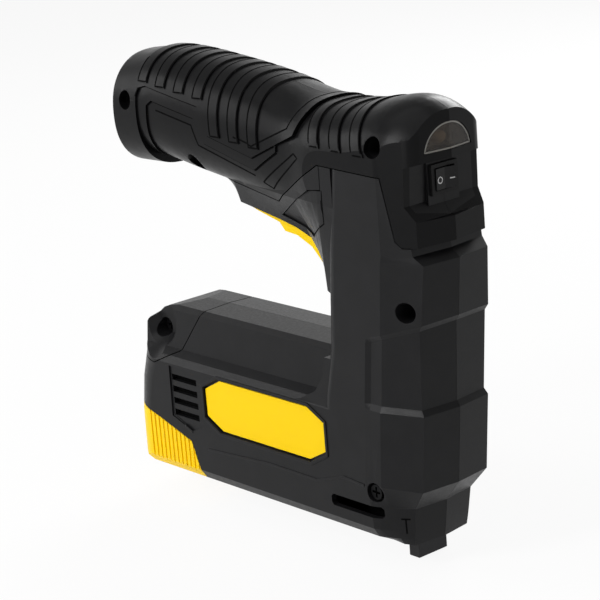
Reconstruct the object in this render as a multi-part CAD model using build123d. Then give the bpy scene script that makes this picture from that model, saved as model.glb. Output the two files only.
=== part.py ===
from build123d import *
import os
from math import acos, copysign, cos, pi, radians, sin, tan

# Cordless stapler. Millimetres, +X to the front (nose side), +Y to the user's left, +Z up.
# The flat base is level, Z = 0 is the tip of the nose and X = 0 is the middle of the length.

# Shells
SIDE_Y = 21.6            # half width of the column and of the wide lower body
WALL = 2.4               # wall of the hard shells
SEAM = 0.05              # half of the seam between the two shells
FIT = 0.3                # clearance around a separate piece
SEAT = 0.05              # clearance where a piece is held
BASE_Z = 8.3             # underside of the base
REAR_X = -85.1           # rear face of the lower body

# Head: the soft front end above the column
HEAD_FACET_X = 69.0      # where the sides start to taper
HEAD_FRONT_X = 82.0      # upright front edges
HEAD_FRONT_Y = 16.3      # half width at those edges
HEAD_ROUND = 6.0         # softness of the upright corners of the visor
RIDGE = 2.2              # middle ridge ahead of the front edges
GROOVE_Z = 120.3         # seam between the column and the head
BLOCK_TOP_Z = 129.6      # front edge of the ledge under the switch
PANEL_X = 79.4           # raised middle of the switch panel
PANEL_STEP = 1.3         # the panel's sides lie this far behind it
PANEL_Y = 7.4            # half width of the raised middle
PANEL_LOW_Z = 134.9
VISOR_Z = 149.3          # lower edge of the visor

# Column: levels of the front, from the nose up
NOSE_TOP_Z = 22.9
LOW_BLOCK_Z = 31.1
LOW_TOP_Z = 59.8
MID_BLOCK_Z = 93.2
MID_TOP_Z = 114.6
BAND = 2.1               # height of the sloping bands above and below the set-back zone
SET_BACK = 1.1           # depth of the set-back zone on the sides
ZONE_TILT = 0.3          # rise of the zone's upper edge towards the front
COLUMN_REAR_X = 36.0     # rear wall of the column at COLUMN_REAR_Z
COLUMN_REAR_Z = 88.0
COLUMN_LEAN = 0.14       # forward lean of the rear wall
COLUMN_ROUND = 5.0       # radius of the rear upright edges

# Soft grip
GRIP_SKIN = 2.0          # thickness of the soft skin on the handle
PAD_STEP = 0.7           # each of the two steps up to the ribbed pad
RIB_HEIGHT = 0.5
BORDER_GAP = 0.4         # open line between the soft grip and the hard shells
RIB_WIDTH = 5.7
RIB_PITCH = 10.9
REAR_RIBS = 7
REAR_RIB_X = -60.5       # middle of the rearmost rib
REAR_RIB_LEAN = 0.12     # lean of the ribs, top to the rear
LONG_RIBS_FROM = 4       # ribs from this one on reach further down
FRONT_RIBS = 3
FRONT_RIB_X = 38.5
FRONT_RIB_PITCH = 11.3
FRONT_RIB_LEAN = 0.45
FLANGE_ROUND = 3.4       # radius of the rear edge of the handle's end ring

# Lower body
LOWER_TOP_Z = 76.5       # top of the narrow upper part
LOWER_TOP_Y = 13.8       # its half width at the top
SHELF_Z = 60.0           # foot of the narrow part's side wall
SHELF_Y = 16.0           # half width there
SHOULDER_Z = 55.5        # outer edge of the sloping shelf
BASE_FLAT_Y = 14.0       # half width of the flat underside
BASE_BEVEL_Y = 2.2       # its rounded lower edge, in two bevels
BASE_BEVEL_Z = 2.6
BASE_RISE = 6.2
LOWER_FRONT_X = 50.0     # where the lower body ends inside the column

# Label plate, staple window and vents
LABEL_X = -2.3
LABEL_Z = 43.7
LABEL_LENGTH = 68.0
LABEL_HEIGHT = 20.2
LABEL_CUT_X = 9.0
LABEL_CUT_Z = 4.7
LABEL_DEPTH = 1.1
LABEL_THICK = 0.6
WINDOW_X = 46.6
WINDOW_Z = 20.8
WINDOW_LENGTH = 26.0
WINDOW_HEIGHT = 4.4
VENT_COUNT = 4
VENT_PITCH = 4.8
VENT_X = -49.5
VENT_TOP_Z = 50.0
VENT_LENGTH = 15.0
VENT_HEIGHT = 2.5
VENT_PANEL_DEPTH = 0.6   # shallow panel around the vents

# Screws that close the shells: x, z and depth of the head's seat below the middle plane
SCREW_RECESS_D = 7.4
SCREW_HEAD_D = 5.6
SCREW_HEAD = 2.4
SCREW_D = 2.9
BOSS_D = 9.2
SCREWS = (
    (-70.9, 158.4, 7.0),
    (-37.2, 136.6, 7.0),
    (67.6, 155.0, 7.0),
    (75.9, 97.6, 7.0),
    (-71.0, 65.6, 6.0),
)
NOSE_SCREW = (57.0, 28.5)
NOSE_SCREW_SEAT = 18.2
NOSE_SCREW_END = 15.2

# Staple drive
NOSE_X = 60.0            # plane of the driver blade
NOSE_WIDTH = 14.0
NOSE_PLATE = 2.0
NOSE_PLATE_TOP = 33.0
BLADE = 1.0
BLADE_WIDTH = 11.4
BLADE_TIP_Z = 2.0
BLADE_TOP_Z = 50.0
HAMMER_LOW_Z = 42.0
HAMMER_TOP_Z = 60.0
HAMMER_REAR_X = 55.5
HAMMER_FRONT_X = 66.5
HAMMER_Y = 12.0
GUIDE_X = 61.0
GUIDE_Y = 9.0
GUIDE_D = 4.0
FRAME_PLATE = 3.0
FRAME_LOW_Z = 33.0
FRAME_TOP_Z = 114.0
FRAME_REAR_X = 57.2
FRAME_FRONT_X = 70.5
FRAME_Y = 12.5
SPRING_WIRE = 1.8
SPRING_D = 11.0          # over the middle of the wire
SPRING_TURNS = 8
COIL_STEPS = 14          # straight lengths in one turn of a spring
WIRE_SIDES = 8           # sides of its wire

# Motor and gears
DRIVE_Z = 52.0           # axis of the motor and the gears
MOTOR_D = 27.5
MOTOR_REAR_X = -52.0
MOTOR_LENGTH = 32.0
MOTOR_SHAFT_D = 2.3
END_BELL = 3.5
MODULE = 0.6
SUN_TEETH = 12
PLANET_TEETH = 15
RING_TEETH = SUN_TEETH + 2 * PLANET_TEETH
PLANETS = 3
GEAR_WIDTH = 7.0
GEAR_PLAY = 0.12         # backlash of the small gears
PRESSURE = radians(25)
CASE_D = 31.0
SHAFT_D = 6.0
BEARING_D = 13.0
BEARING_WIDTH = 5.0
PINION_MODULE = 1.0
PINION_TEETH = 18
PINION_PLAY = 0.2
PINION_WIDTH = 7.0
PINION_X = 46.5          # rear face of the sector pinion
SECTOR_FIRST = -1        # first and last tooth of the sector, counted from the rack
SECTOR_LAST = 9
RACK_BODY = 5.0          # thickness behind the teeth
RACK_LOW_Z = 26.0
RACK_TOP_Z = 57.0

# Magazine
CHANNEL_Y = 7.0          # half width of the staple channel
CHANNEL_WALL = 1.0
CHANNEL_LOW_Z = 12.0
CHANNEL_TOP_Z = 25.0
CHANNEL_REAR_X = -70.0
CHANNEL_FRONT_X = 59.0
RAIL_Y = 4.5
RAIL_LOW_Z = 13.0
RAIL_TOP_Z = 22.8
RAIL_WALL = 1.0
RAIL_FRONT_X = 58.4
FOLLOWER_LENGTH = 12.0
ROD_D = 2.4
ROD_Z = 18.4
FEED_WIRE = 0.8
FEED_D = 5.2
FEED_TURNS = 12

# Trigger
TRIGGER_Y = 7.0
TRIGGER_PIVOT = (-15.0, 124.5)
TRIGGER_PIN_D = 3.0
TRIGGER_EYE_D = 7.0
TRIGGER_SLOT = 7.5       # half width of the opening in the shells
TRIGGER_PIN_Y = 9.0      # half length of the pin
RETURN_WIRE = 0.8
RETURN_D = 6.0
RETURN_TURNS = 4

# Switch, light, cells and boards
ROCKER_Z = 142.0
ROCKER_LENGTH = 12.6
ROCKER_HEIGHT = 10.8
ROCKER_BEZEL = 1.1
ROCKER_DEPTH = 11.0
ROCKER_TILT = 7.0        # each way
LENS_LOW_Z = 152.2       # flat lower edge
LENS_R = 11.3
LENS_DROP = 1.5          # centre of the arc below the flat edge
LENS_RIM = 1.0
CELL_D = 18.3
CELL_LENGTH = 65.0
CELL_CENTRE = (-30.0, 150.4)
CELL_TILT = 6.0
SOCKET_Z = 144.0
SOCKET_D = 12.0
SOCKET_BORE = 5.6
SOCKET_DEPTH = 9.0
BOARD = 1.6

os.makedirs("parts", exist_ok=True)


# Helpers
def side_plane(y):
    """Sketch plane seen from the right, with X to the right and Z up."""
    return Plane((0, y, 0), x_dir=(1, 0, 0), z_dir=(0, -1, 0))


def side_solid(outline, y_low, y_high):
    """Solid with an X-Z outline between two Y planes."""
    return extrude(side_plane(y_high) * outline, amount=y_high - y_low, dir=(0, -1, 0))


def side_prism(points, y_low, y_high):
    return side_solid(Polygon(*points, align=None), y_low, y_high)


def cross_plane(x):
    """Sketch plane seen from the front, with Y to the right and Z up."""
    return Plane((x, 0, 0), x_dir=(0, 1, 0), z_dir=(1, 0, 0))


def cross_solid(outline, x_low, x_high):
    """Solid with a Y-Z outline between two X planes."""
    return extrude(cross_plane(x_low) * outline, amount=x_high - x_low, dir=(1, 0, 0))


def plan_solid(outline, z_low, z_high):
    """Solid with an X-Y outline between two Z planes."""
    return extrude(Pos(0, 0, z_low) * outline, amount=z_high - z_low, dir=(0, 0, 1))


def box(x_low, x_high, y_low, y_high, z_low, z_high):
    centre = ((x_low + x_high) / 2, (y_low + y_high) / 2, (z_low + z_high) / 2)
    return Pos(*centre) * Box(x_high - x_low, y_high - y_low, z_high - z_low)


def rod_y(x, z, diameter, y_low, y_high):
    return side_solid(Pos(x, z) * Circle(diameter / 2), y_low, y_high)


def rod_x(y, z, diameter, x_low, x_high):
    return cross_solid(Pos(y, z) * Circle(diameter / 2), x_low, x_high)


def rod_z(x, y, diameter, z_low, z_high):
    return plan_solid(Pos(x, y) * Circle(diameter / 2), z_low, z_high)


def closed(half):
    """Outline in Y-Z from its half at -Y, listed from the bottom middle to the top middle."""
    return half + [(-y, z) for y, z in reversed(half) if y != 0]


def octagon(length, height, cut_x, cut_z):
    """Rectangle with its corners cut off, about the origin."""
    a = length / 2
    b = height / 2
    return (
        (-a, cut_z - b), (cut_x - a, -b), (a - cut_x, -b), (a, cut_z - b),
        (a, b - cut_z), (a - cut_x, b), (cut_x - a, b), (-a, b - cut_z),
    )


def coil(centre_diameter, wire, turns, length):
    """Coil spring along +Z as a chain of short straight lengths of wire, mitred where they meet."""
    radius = centre_diameter / 2
    steps = COIL_STEPS * turns
    points = []
    for k in range(steps + 1):
        turn = 2 * pi * k / COIL_STEPS
        rise = wire * 0.55 + (length - 1.1 * wire) * k / steps
        points.append((radius * cos(turn), radius * sin(turn), rise))
    path = Polyline(*points)
    start = Plane(origin=path @ 0, z_dir=path % 0)
    return sweep(start * RegularPolygon(wire / 2, WIRE_SIDES), path=path, transition=Transition.RIGHT)


def gear_outline(teeth, module, play, addendum, dedendum, keep=None):
    """Involute gear as a sketch about the origin, with a tooth on +X. keep limits the teeth made."""
    pitch = teeth * module / 2
    base = pitch * cos(PRESSURE)
    tip = pitch + addendum * module
    root = pitch - dedendum * module
    spread = tan(PRESSURE) - PRESSURE

    def half_angle(radius):
        """Half of the tooth's width at a radius, as an angle."""
        lean = acos(min(1.0, base / max(radius, base)))
        return pi / (2 * teeth) - play / (4 * pitch) + spread - (tan(lean) - lean)

    start = max(root, base)
    radii = [start + (tip - start) * k / 3 for k in range(4)]
    points = []
    for tooth in range(teeth):
        middle = 2 * pi * tooth / teeth
        if keep is not None and tooth not in keep:
            points.append((root * cos(middle), root * sin(middle)))
            continue
        flank = [(root, half_angle(start))] if root < start - 0.01 else []
        flank += [(r, half_angle(r)) for r in radii]
        points += [(r * cos(middle - h), r * sin(middle - h)) for r, h in flank]
        points += [(r * cos(middle + h), r * sin(middle + h)) for r, h in reversed(flank)]
    return Polygon(*points, align=None)


# Forms of the outside
# Handle and head: stations along X (x, half width, lowest, widest and highest z, squareness of the top)
GRIP_STATIONS = (
    (-80.5, 19.0, 134.6, 152.7, 173.0, 2.3),
    (-63.0, 19.4, 135.2, 154.0, 175.3, 2.3),
    (-45.0, 19.4, 132.0, 153.1, 174.6, 2.3),
    (-20.0, 19.2, 128.6, 150.3, 172.0, 2.3),
    (5.0, 19.4, 125.0, 146.4, 167.8, 2.4),
    (25.0, 20.4, 118.0, 143.0, 164.4, 2.5),
    (42.0, 22.4, 106.0, 143.0, 165.2, 2.5),
    (60.0, 22.6, 102.0, 145.5, 168.2, 2.2),
    (71.0, 22.0, 102.0, 147.5, 169.8, 2.05),
    (79.0, 19.4, 102.0, 149.0, 168.4, 2.0),
    (88.0, 14.6, 102.0, 150.0, 164.6, 2.0),
)
# Raised ring at the rear end of the handle, in the same values
FLANGE_STATIONS = (
    (-80.5, 20.4, 131.0, 152.7, 174.4, 2.3),
    (-63.9, 20.8, 131.4, 153.9, 176.6, 2.3),
)
SECTION_POINTS = 16
UNDERSIDE_POWER = 2.4    # squareness of the lower half
HANDLE_REAR_X = GRIP_STATIONS[0][0]


def grip_section(station, inset):
    x, half_width, z_low, z_mid, z_high, power = station
    points = []
    for k in range(SECTION_POINTS):
        turn = 2 * pi * k / SECTION_POINTS
        square = power if sin(turn) >= 0 else UNDERSIDE_POWER
        reach = (z_high - z_mid if sin(turn) >= 0 else z_mid - z_low) - inset
        y = (half_width - inset) * copysign(abs(cos(turn)) ** (2 / square), cos(turn))
        z = z_mid + reach * copysign(abs(sin(turn)) ** (2 / square), sin(turn))
        points.append((y, z))
    return cross_plane(x) * make_face(Spline(*points, periodic=True))


def head_outline(inset, soft):
    """Plan of the head: straight sides, tapered facets and a front with a middle ridge."""
    half = [
        (-99.0, inset - SIDE_Y),
        (HEAD_FACET_X, inset - SIDE_Y),
        (HEAD_FRONT_X - inset, inset - HEAD_FRONT_Y),
    ]
    ridge = (HEAD_FRONT_X + RIDGE - inset, 0.0)
    outline = Polygon(*half, ridge, *[(x, -y) for x, y in reversed(half)], align=None)
    if soft:
        corners = [v for v in outline.vertices() if v.X > 0 and abs(v.Y) > 1]
        outline = fillet(corners, radius=HEAD_ROUND)
    return outline


def grip_form(inset):
    """Handle and head as one smooth body, drawn in by the inset (negative stands proud)."""
    body = loft([grip_section(station, inset) for station in GRIP_STATIONS])
    return body & plan_solid(head_outline(inset, True), 90, 190)


def block_form(inset):
    """Sharp-edged front of the head below the switch panel."""
    return plan_solid(head_outline(inset, False), GROOVE_Z, PANEL_LOW_Z) & box(66, 99, -40, 40, 100, 190)


# Side view of the border between the soft grip (above) and the hard shells
GRIP_BORDER = (
    (-27.0, 100.0),
    (-27.0, 131.6),
    (9.3, 127.5),
    (39.3, 145.6),
    (70.1, 144.6),
    (74.0, 122.6),
    (76.4, GROOVE_Z),
    (99.0, GROOVE_Z),
    (99.0, 190.0),
    (-99.0, 190.0),
    (-99.0, 100.0),
)


def column_level(z, edge_x, edge_y, facet_x, facet_y, inset, side_y=SIDE_Y, zone=0.0, tilt=0.0):
    """One outline of the column: rear corner, zone step, facet edge, front edge and ridge."""
    rear_x = COLUMN_REAR_X + COLUMN_LEAN * (z - COLUMN_REAR_Z) + inset
    step_x = facet_x - 7.5
    half = [
        (rear_x, inset - side_y),
        (step_x, inset - side_y),
        (step_x + 2.0, zone + inset - side_y - (facet_y - side_y) * 0.2),
        (facet_x, zone + inset - facet_y),
        (edge_x - 1.2 * inset, 0.8 * inset - edge_y),
    ]
    ridge = (edge_x + 0.8 * RIDGE - 1.2 * inset, 0.0)
    outline = half + [ridge] + [(x, -y) for x, y in reversed(half)]
    return Face(Wire.make_polygon([Vector(x, y, z + tilt * (x - edge_x)) for x, y in outline], close=True))


def column_form(inset):
    """Front column as ruled blocks from the nose to the seam of the head, and on inside the head."""
    zone = dict(zone=SET_BACK)
    upper = dict(tilt=ZONE_TILT)
    levels = [
        column_level(BASE_Z + inset, 67.3, 13.1, 63.4, 14.6, inset, BASE_FLAT_Y),
        column_level(BASE_Z + BASE_BEVEL_Z + inset / 2, 67.8, 13.3, 63.3, 16.2, inset, SIDE_Y - BASE_BEVEL_Y),
        column_level(BASE_Z + BASE_RISE, 68.4, 13.5, 63.0, 17.2, inset),
        column_level(NOSE_TOP_Z + inset, 69.6, 13.9, 62.4, 18.6, inset),
        column_level(LOW_BLOCK_Z + inset, 76.3, 16.0, 60.3, 21.2, inset),
        column_level(LOW_TOP_Z - inset / 2, 79.2, 15.9, 63.1, SIDE_Y, inset),
        column_level(LOW_TOP_Z + BAND, 77.8, 15.4, 62.8, SIDE_Y, inset, **zone),
        column_level(MID_BLOCK_Z - BAND, 79.9, 16.0, 65.4, SIDE_Y, inset, **zone, **upper),
        column_level(MID_BLOCK_Z + inset / 2, 81.3, 16.4, 65.8, SIDE_Y, inset, **upper),
        column_level(MID_TOP_Z - inset, 83.4, 15.6, 68.3, SIDE_Y, inset),
        column_level(GROOVE_Z - 2.6 - inset / 2, 79.8, 16.8, HEAD_FACET_X, SIDE_Y, inset),
        column_level(GROOVE_Z, 79.3, 17.0, HEAD_FACET_X, SIDE_Y, inset),
        column_level(GROOVE_Z + 30.0, 79.3, 17.0, HEAD_FACET_X, SIDE_Y, inset),
    ]
    body = loft(levels, ruled=True)
    if inset == 0:
        uprights = [e for e in body.edges() if abs(e.tangent_at(0.5).Z) > 0.9 and e.center().X < 50]
        body = fillet([e for e in uprights if abs(e.center().Y) > SIDE_Y - 0.1], radius=COLUMN_ROUND)
    return body


LOWER_SECTION = closed([
    (0.0, BASE_Z),
    (-BASE_FLAT_Y, BASE_Z),
    (BASE_BEVEL_Y - SIDE_Y, BASE_Z + BASE_BEVEL_Z),
    (-SIDE_Y, BASE_Z + BASE_RISE),
    (-SIDE_Y, SHOULDER_Z),
    (2.0 - SIDE_Y, SHOULDER_Z + 2.4),
    (-SHELF_Y, SHELF_Z),
    (-LOWER_TOP_Y, LOWER_TOP_Z - 1.8),
    (1.8 - LOWER_TOP_Y, LOWER_TOP_Z),
    (0.0, LOWER_TOP_Z + 0.6),
])
LOWER_SIDE = (
    (REAR_X + 6.0, BASE_Z),
    (LOWER_FRONT_X, BASE_Z),
    (LOWER_FRONT_X, LOWER_TOP_Z + 2.0),
    (-52.5, LOWER_TOP_Z + 2.0),
    (-57.0, LOWER_TOP_Z + 0.5),
    (-65.0, LOWER_TOP_Z - 0.6),
    (-71.5, LOWER_TOP_Z - 3.0),
    (-77.0, LOWER_TOP_Z - 7.2),
    (-80.8, LOWER_TOP_Z - 13.5),
    (-83.0, LOWER_TOP_Z - 22.0),
    (-84.4, LOWER_TOP_Z - 29.0),
    (REAR_X, 41.0),
    (REAR_X, 25.0),
    (REAR_X + 1.6, 15.0),
)


def drawn_in(outline, inset):
    """Outline moved inwards by the inset, with its corners kept sharp."""
    if inset == 0:
        return outline
    return offset(outline, amount=-inset, kind=Kind.INTERSECTION)


# Plan of the rear end: level, distance from the rearmost face and corner radius
REAR_PLAN = ((0.0, 0.0, 11.0), (32.0, 0.0, 12.0), (46.0, 0.4, 15.0), (57.0, 1.8, 18.5), (68.0, 2.6, 19.0), (95.0, 3.0, 19.0))


def rear_plan(inset):
    """Everything ahead of the rounded rear end of the lower body."""
    levels = []
    for z, ahead, radius in REAR_PLAN:
        x = REAR_X + ahead + inset
        y = SIDE_Y - inset
        outline = Polygon((x, -y), (99, -y), (99, y), (x, y), align=None)
        outline = fillet([v for v in outline.vertices() if v.X < 0], radius=radius - inset)
        levels.append((Pos(0, 0, z) * outline).face())
    return loft(levels, ruled=True)


def lower_form(inset):
    """Motor body: its cross-section, side view and plan met together."""
    section = drawn_in(Polygon(*LOWER_SECTION, align=None), inset)
    side = drawn_in(Polygon(*LOWER_SIDE, align=None), inset)
    return cross_solid(section, -120, LOWER_FRONT_X) & side_solid(side, -40, 40) & rear_plan(inset)


# Trigger housing: sections along its finger side (x, z, direction into the wall, half width at the lip
# and half width at the waist, where it meets the handle)
GUARD_STATIONS = (
    (-27.0, 131.0, 0.7, 0.7, 7.6, 10.0),
    (-21.6, 126.6, 0.8, 0.6, 8.8, 11.2),
    (-19.4, 122.6, 0.5, 0.87, 9.2, 11.8),
    (-12.2, 121.6, 0.1, 0.99, 9.5, 12.8),
    (2.8, 119.0, 0.2, 0.98, 9.5, 15.4),
    (12.0, 117.2, 0.27, 0.96, 9.7, 17.2),
    (20.4, 114.6, 0.4, 0.92, 10.2, 18.8),
    (25.2, 110.2, 0.6, 0.8, 11.2, 19.8),
    (29.6, 105.8, 0.6, 0.8, 13.0, 20.6),
    (33.6, 102.2, 0.6, 0.8, 15.6, 21.1),
    (37.2, 99.6, 0.5, 0.87, 19.0, 21.4),
    (46.0, 97.0, 0.0, 0.8, 21.0, 21.5),
)
GUARD_WAIST_Z = 131.5
GUARD_TOP_Z = 146.0


def guard_form(inset):
    """Trigger housing between the handle and the column, lofted along its curved finger side."""
    sections = []
    for x, z, across, up, lip_y, waist_y in GUARD_STATIONS:
        half = [
            (0.0, z + inset * up),
            (inset - lip_y, z + inset * up),
            (inset - waist_y, GUARD_WAIST_Z + 0.5 * inset),
            (inset - waist_y, GUARD_TOP_Z),
            (0.0, GUARD_TOP_Z),
        ]
        outline = [Vector(x + inset * across, y, height) for y, height in closed(half)]
        sections.append(Face(Wire.make_polygon(outline, close=True)))
    return loft(sections, ruled=True)


# Soft grip with its ribbed pad
PAD_LOW = (
    (-59.6, 136.0), (-58.2, 157.5), (-55.1, 159.5), (-30.5, 155.2), (-25.6, 146.3), (2.4, 139.4), (16.0, 147.6),
    (16.0, 190.0), (-63.9, 190.0), (-63.9, 136.0),
)
PAD_HIGH = (
    (-63.9, 160.7), (-62.6, 163.9), (-58.9, 164.8), (-27.7, 159.9), (-22.1, 149.7), (2.8, 144.2), (25.8, 154.6),
    (28.7, 162.6), (29.5, 190.0), (-63.9, 190.0),
)
RIB_FOOT_REAR = 166.0    # lower ends of the rear ribs: the short ones, then the long ones
RIB_FOOT_LONG = 149.5
RIB_FOOT_FRONT = 152.0


def slanted(x, z, lean, top):
    """Rib in the side view whose foot has its middle at x, z."""
    shift = lean * (top - z)
    half = RIB_WIDTH / 2
    return side_prism(((x - half, z), (x + half, z), (x + half - shift, top), (x - half - shift, top)), -40, 0)


def rear_ribs():
    bars = []
    for k in range(REAR_RIBS):
        foot = RIB_FOOT_REAR - 1.2 * k
        if k >= LONG_RIBS_FROM:
            foot = RIB_FOOT_LONG - 0.9 * (k - LONG_RIBS_FROM)
        bars.append(slanted(REAR_RIB_X + RIB_PITCH * k, foot, REAR_RIB_LEAN, 185.0))
    return bars


def front_ribs():
    return [
        slanted(FRONT_RIB_X + FRONT_RIB_PITCH * k, RIB_FOOT_FRONT - 0.4 * k, FRONT_RIB_LEAN, 176.0)
        for k in range(FRONT_RIBS)
    ]


def panel_notch():
    """Space in front of the switch panel, under the visor and over the sloping ledge."""
    side_x = PANEL_X - PANEL_STEP
    space = side_prism((
        (side_x, PANEL_LOW_Z), (HEAD_FRONT_X + 0.3, BLOCK_TOP_Z), (99.0, BLOCK_TOP_Z - 3.0),
        (99.0, VISOR_Z + 1.0), (HEAD_FRONT_X + 0.3, VISOR_Z), (side_x + 0.6, VISOR_Z - 1.0),
    ), -40, 40)
    return space - box(side_x - 1.0, PANEL_X, -PANEL_Y, PANEL_Y, PANEL_LOW_Z - 1.5, VISOR_Z)


def lens_outline(grow):
    """Rounded window of the work light, flat side down."""
    radius = LENS_R + grow
    keep = Pos(0, LENS_LOW_Z - grow + radius / 2) * Rectangle(4 * radius, radius)
    return (Pos(0, LENS_LOW_Z - LENS_DROP) * Circle(radius)) & keep


def rear_rounding():
    """Everything ahead of the handle's rear edge, with that edge rounded."""
    sections = []
    for k in range(5):
        turn = pi / 2 * k / 4
        rear = list(FLANGE_STATIONS[0])
        rear[0] = HANDLE_REAR_X + FLANGE_ROUND * (1 - sin(turn))
        sections.append(grip_section(rear, FLANGE_ROUND * (1 - cos(turn)) - RIB_HEIGHT))
    return loft(sections, ruled=True) + box(HANDLE_REAR_X + FLANGE_ROUND, 200, -60, 60, 90, 200)


# The right half is built, and the left one is its mirror image
right_half = box(-200, 200, -60, -SEAM, -10, 300)
soft_zone = side_prism(GRIP_BORDER, -40, 40)
skin_zone = side_solid(drawn_in(Polygon(*GRIP_BORDER, align=None), BORDER_GAP), -40, 40)
notch = panel_notch()
handle = grip_form(0) & right_half
core = grip_form(GRIP_SKIN) + [block_form(GRIP_SKIN), guard_form(GRIP_SKIN)]
core = (core & right_half & soft_zone) - notch
pad_form = grip_form(-2 * PAD_STEP) & right_half
pad_zone = side_prism(PAD_HIGH, -40, 40)
rib_form = grip_form(-2 * PAD_STEP - RIB_HEIGHT) & right_half & pad_zone
front_rib_form = grip_form(-RIB_HEIGHT) & right_half
raised = [
    grip_form(-PAD_STEP) & right_half & side_prism(PAD_LOW, -40, 40),
    pad_form & pad_zone,
    loft([grip_section(station, 0) for station in FLANGE_STATIONS]) & right_half,
    block_form(0) & right_half,
    guard_form(0) & right_half & skin_zone,
]
raised += [rib_form & bar for bar in rear_ribs()]
raised += [front_rib_form & bar for bar in front_ribs()]
skin = (handle - box(66, 99, -40, 40, 80, PANEL_LOW_Z)) + raised
lens_hole = cross_solid(lens_outline(SEAT), 70, 99)
skin = (skin & skin_zone & rear_rounding()) - [notch, core, lens_hole]


# Shells
CAP_BORDER = ((-43.0, 90.0), (-43.0, 77.5), (-55.5, 59.5), (-67.0, 54.0), (-99.0, 57.0), (-99.0, 90.0))
YELLOW_BORDER = (
    (-99.0, 41.0), (-84.5, 36.5), (-67.0, 31.7), (-47.5, 25.4), (-43.0, 13.9), (-41.5, 5.0), (-99.0, 5.0),
)
VENT_PANEL = ((-57.8, 54.6), (-58.4, 33.8), (-46.2, 29.8), (-38.8, 33.0), (-38.8, 53.4))
SLOT_SIDE = ((-19.0, 112.0), (-19.0, 129.2), (29.0, 129.2), (35.2, 110.0), (33.6, 96.0), (15.0, 96.0))
HEX_PANEL = ((6.0, 121.4), (33.6, 136.4), (40.2, 137.2), (39.6, 125.7), (28.6, 117.4))
HEX_DEPTH = 0.5
SHELF_END = ((10.0, 54.0), (20.0, 56.6), (28.5, 61.0), (33.0, 67.0), (35.0, 75.0), (42.0, 75.0), (42.0, 54.0))
SCOOP = (-68.5, 69.5)
SCOOP_FLOOR_D = 12.0
SCOOP_RIM_D = 28.0       # where the dish would reach the wide side
SCOOP_FLOOR_Y = 10.6

BULKHEAD = 2.6           # thickness of the cross walls
GUARD_CAVITY_TOP = 131.0

CELL_PLACE = Pos(CELL_CENTRE[0], 0, CELL_CENTRE[1]) * Rot(0, CELL_TILT, 0)
GEAR_REAR_X = MOTOR_REAR_X + MOTOR_LENGTH + 5.5
CASE_REAR_X = MOTOR_REAR_X + MOTOR_LENGTH + SEAT
CASE_FRONT_X = GEAR_REAR_X + GEAR_WIDTH + 5.6
BEARING_1_X = CASE_FRONT_X + 2.5
BEARING_2_X = 38.0

def across(x_low, x_high, z_low, z_high, form):
    """Cross wall inside the shell, reaching into the walls of a form."""
    return box(x_low, x_high, -40, -SEAM, z_low, z_high) & form


column = column_form(0)
shelf_end = side_prism(SHELF_END, -SIDE_Y + 0.4, SIDE_Y - 0.4)
hard = (column + [lower_form(0), guard_form(0), shelf_end]) & right_half
hard = ((hard + (handle & box(-99, 40, -40, 40, 90, 190))) - soft_zone) + core
hard = hard - (side_prism(HEX_PANEL, -40, 0) - guard_form(HEX_DEPTH))

inner_head = grip_form(GRIP_SKIN + WALL) & right_half
PANEL_BACK_X = PANEL_X - PANEL_STEP - WALL
inner_column = column_form(WALL) - box(PANEL_BACK_X, 99, -40, 40, BLOCK_TOP_Z - 3.0, 190)
inside = (inner_head & box(HANDLE_REAR_X + WALL, PANEL_BACK_X, -40, 40, 90, 190)) + [
    inner_head & box(66, 99, -40, 40, VISOR_Z + 2.0, 190),
    inner_column & box(-99, 99, -40, 40, 0, GROOVE_Z + 22.0) & right_half,
    lower_form(WALL) & right_half,
    guard_form(WALL) & right_half & box(-99, 99, -40, 40, 0, GUARD_CAVITY_TOP),
]
shell = hard - inside

# Cross walls, seats and bosses inside the shell
lower_mid = lower_form(WALL / 2)
column_mid = column_form(WALL / 2)
handle_mid = grip_form(GRIP_SKIN + WALL / 2)
guard_mid = guard_form(GRIP_SKIN + WALL / 2)
SPRING_SEAT_Z = 131.4
SWITCH_X = 4.5
SWITCH_LENGTH = 20.0
SWITCH_LOW_Z = 127.6
SWITCH_HEIGHT = 9.4
SWITCH_Y = 3.2
walls = []
for x in (MOTOR_REAR_X + 8.0, MOTOR_REAR_X + MOTOR_LENGTH - 6.0):
    walls.append(across(x, x + BULKHEAD, 0, 99, lower_mid) - rod_x(0, DRIVE_Z, MOTOR_D + 2 * SEAT, x - 1, x + 9))
case_mid_x = (CASE_REAR_X + CASE_FRONT_X) / 2
walls.append(across(case_mid_x, case_mid_x + BULKHEAD, 0, 99, lower_mid)
             - rod_x(0, DRIVE_Z, CASE_D + 2 * FIT, case_mid_x - 1, case_mid_x + 9))
walls.append(across(BEARING_2_X, BEARING_2_X + BEARING_WIDTH, 27, 74, column_mid)
             - rod_x(0, DRIVE_Z, BEARING_D + 2 * SEAT, BEARING_2_X - 1, BEARING_2_X + 9))
cell_hole = CELL_PLACE * rod_x(0, 0, CELL_D + 2 * SEAT, -60, 60)
for x in (-56.0, -12.0):
    walls.append(across(x, x + BULKHEAD, 125, 190, handle_mid) - cell_hole)
frame_space = box(50, 90, -FRAME_Y - SEAT, FRAME_Y + SEAT, 0, 200)
for z in (FRAME_LOW_Z + FRAME_PLATE, FRAME_TOP_Z - FRAME_PLATE - 4.0):
    walls.append(across(58.5, 66.5, z, z + 4.0, column_mid) - frame_space)
walls.append(across(-9.0, 1.0, SPRING_SEAT_Z, SPRING_SEAT_Z + 2.0, handle_mid))
switch_seat = across(SWITCH_X + 3, SWITCH_X + SWITCH_LENGTH - 3, SWITCH_LOW_Z + 2, SWITCH_LOW_Z + 7, guard_mid)
walls.append(switch_seat - box(-20, 60, -SWITCH_Y - SEAT, SWITCH_Y + SEAT, 100, 150))
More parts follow.
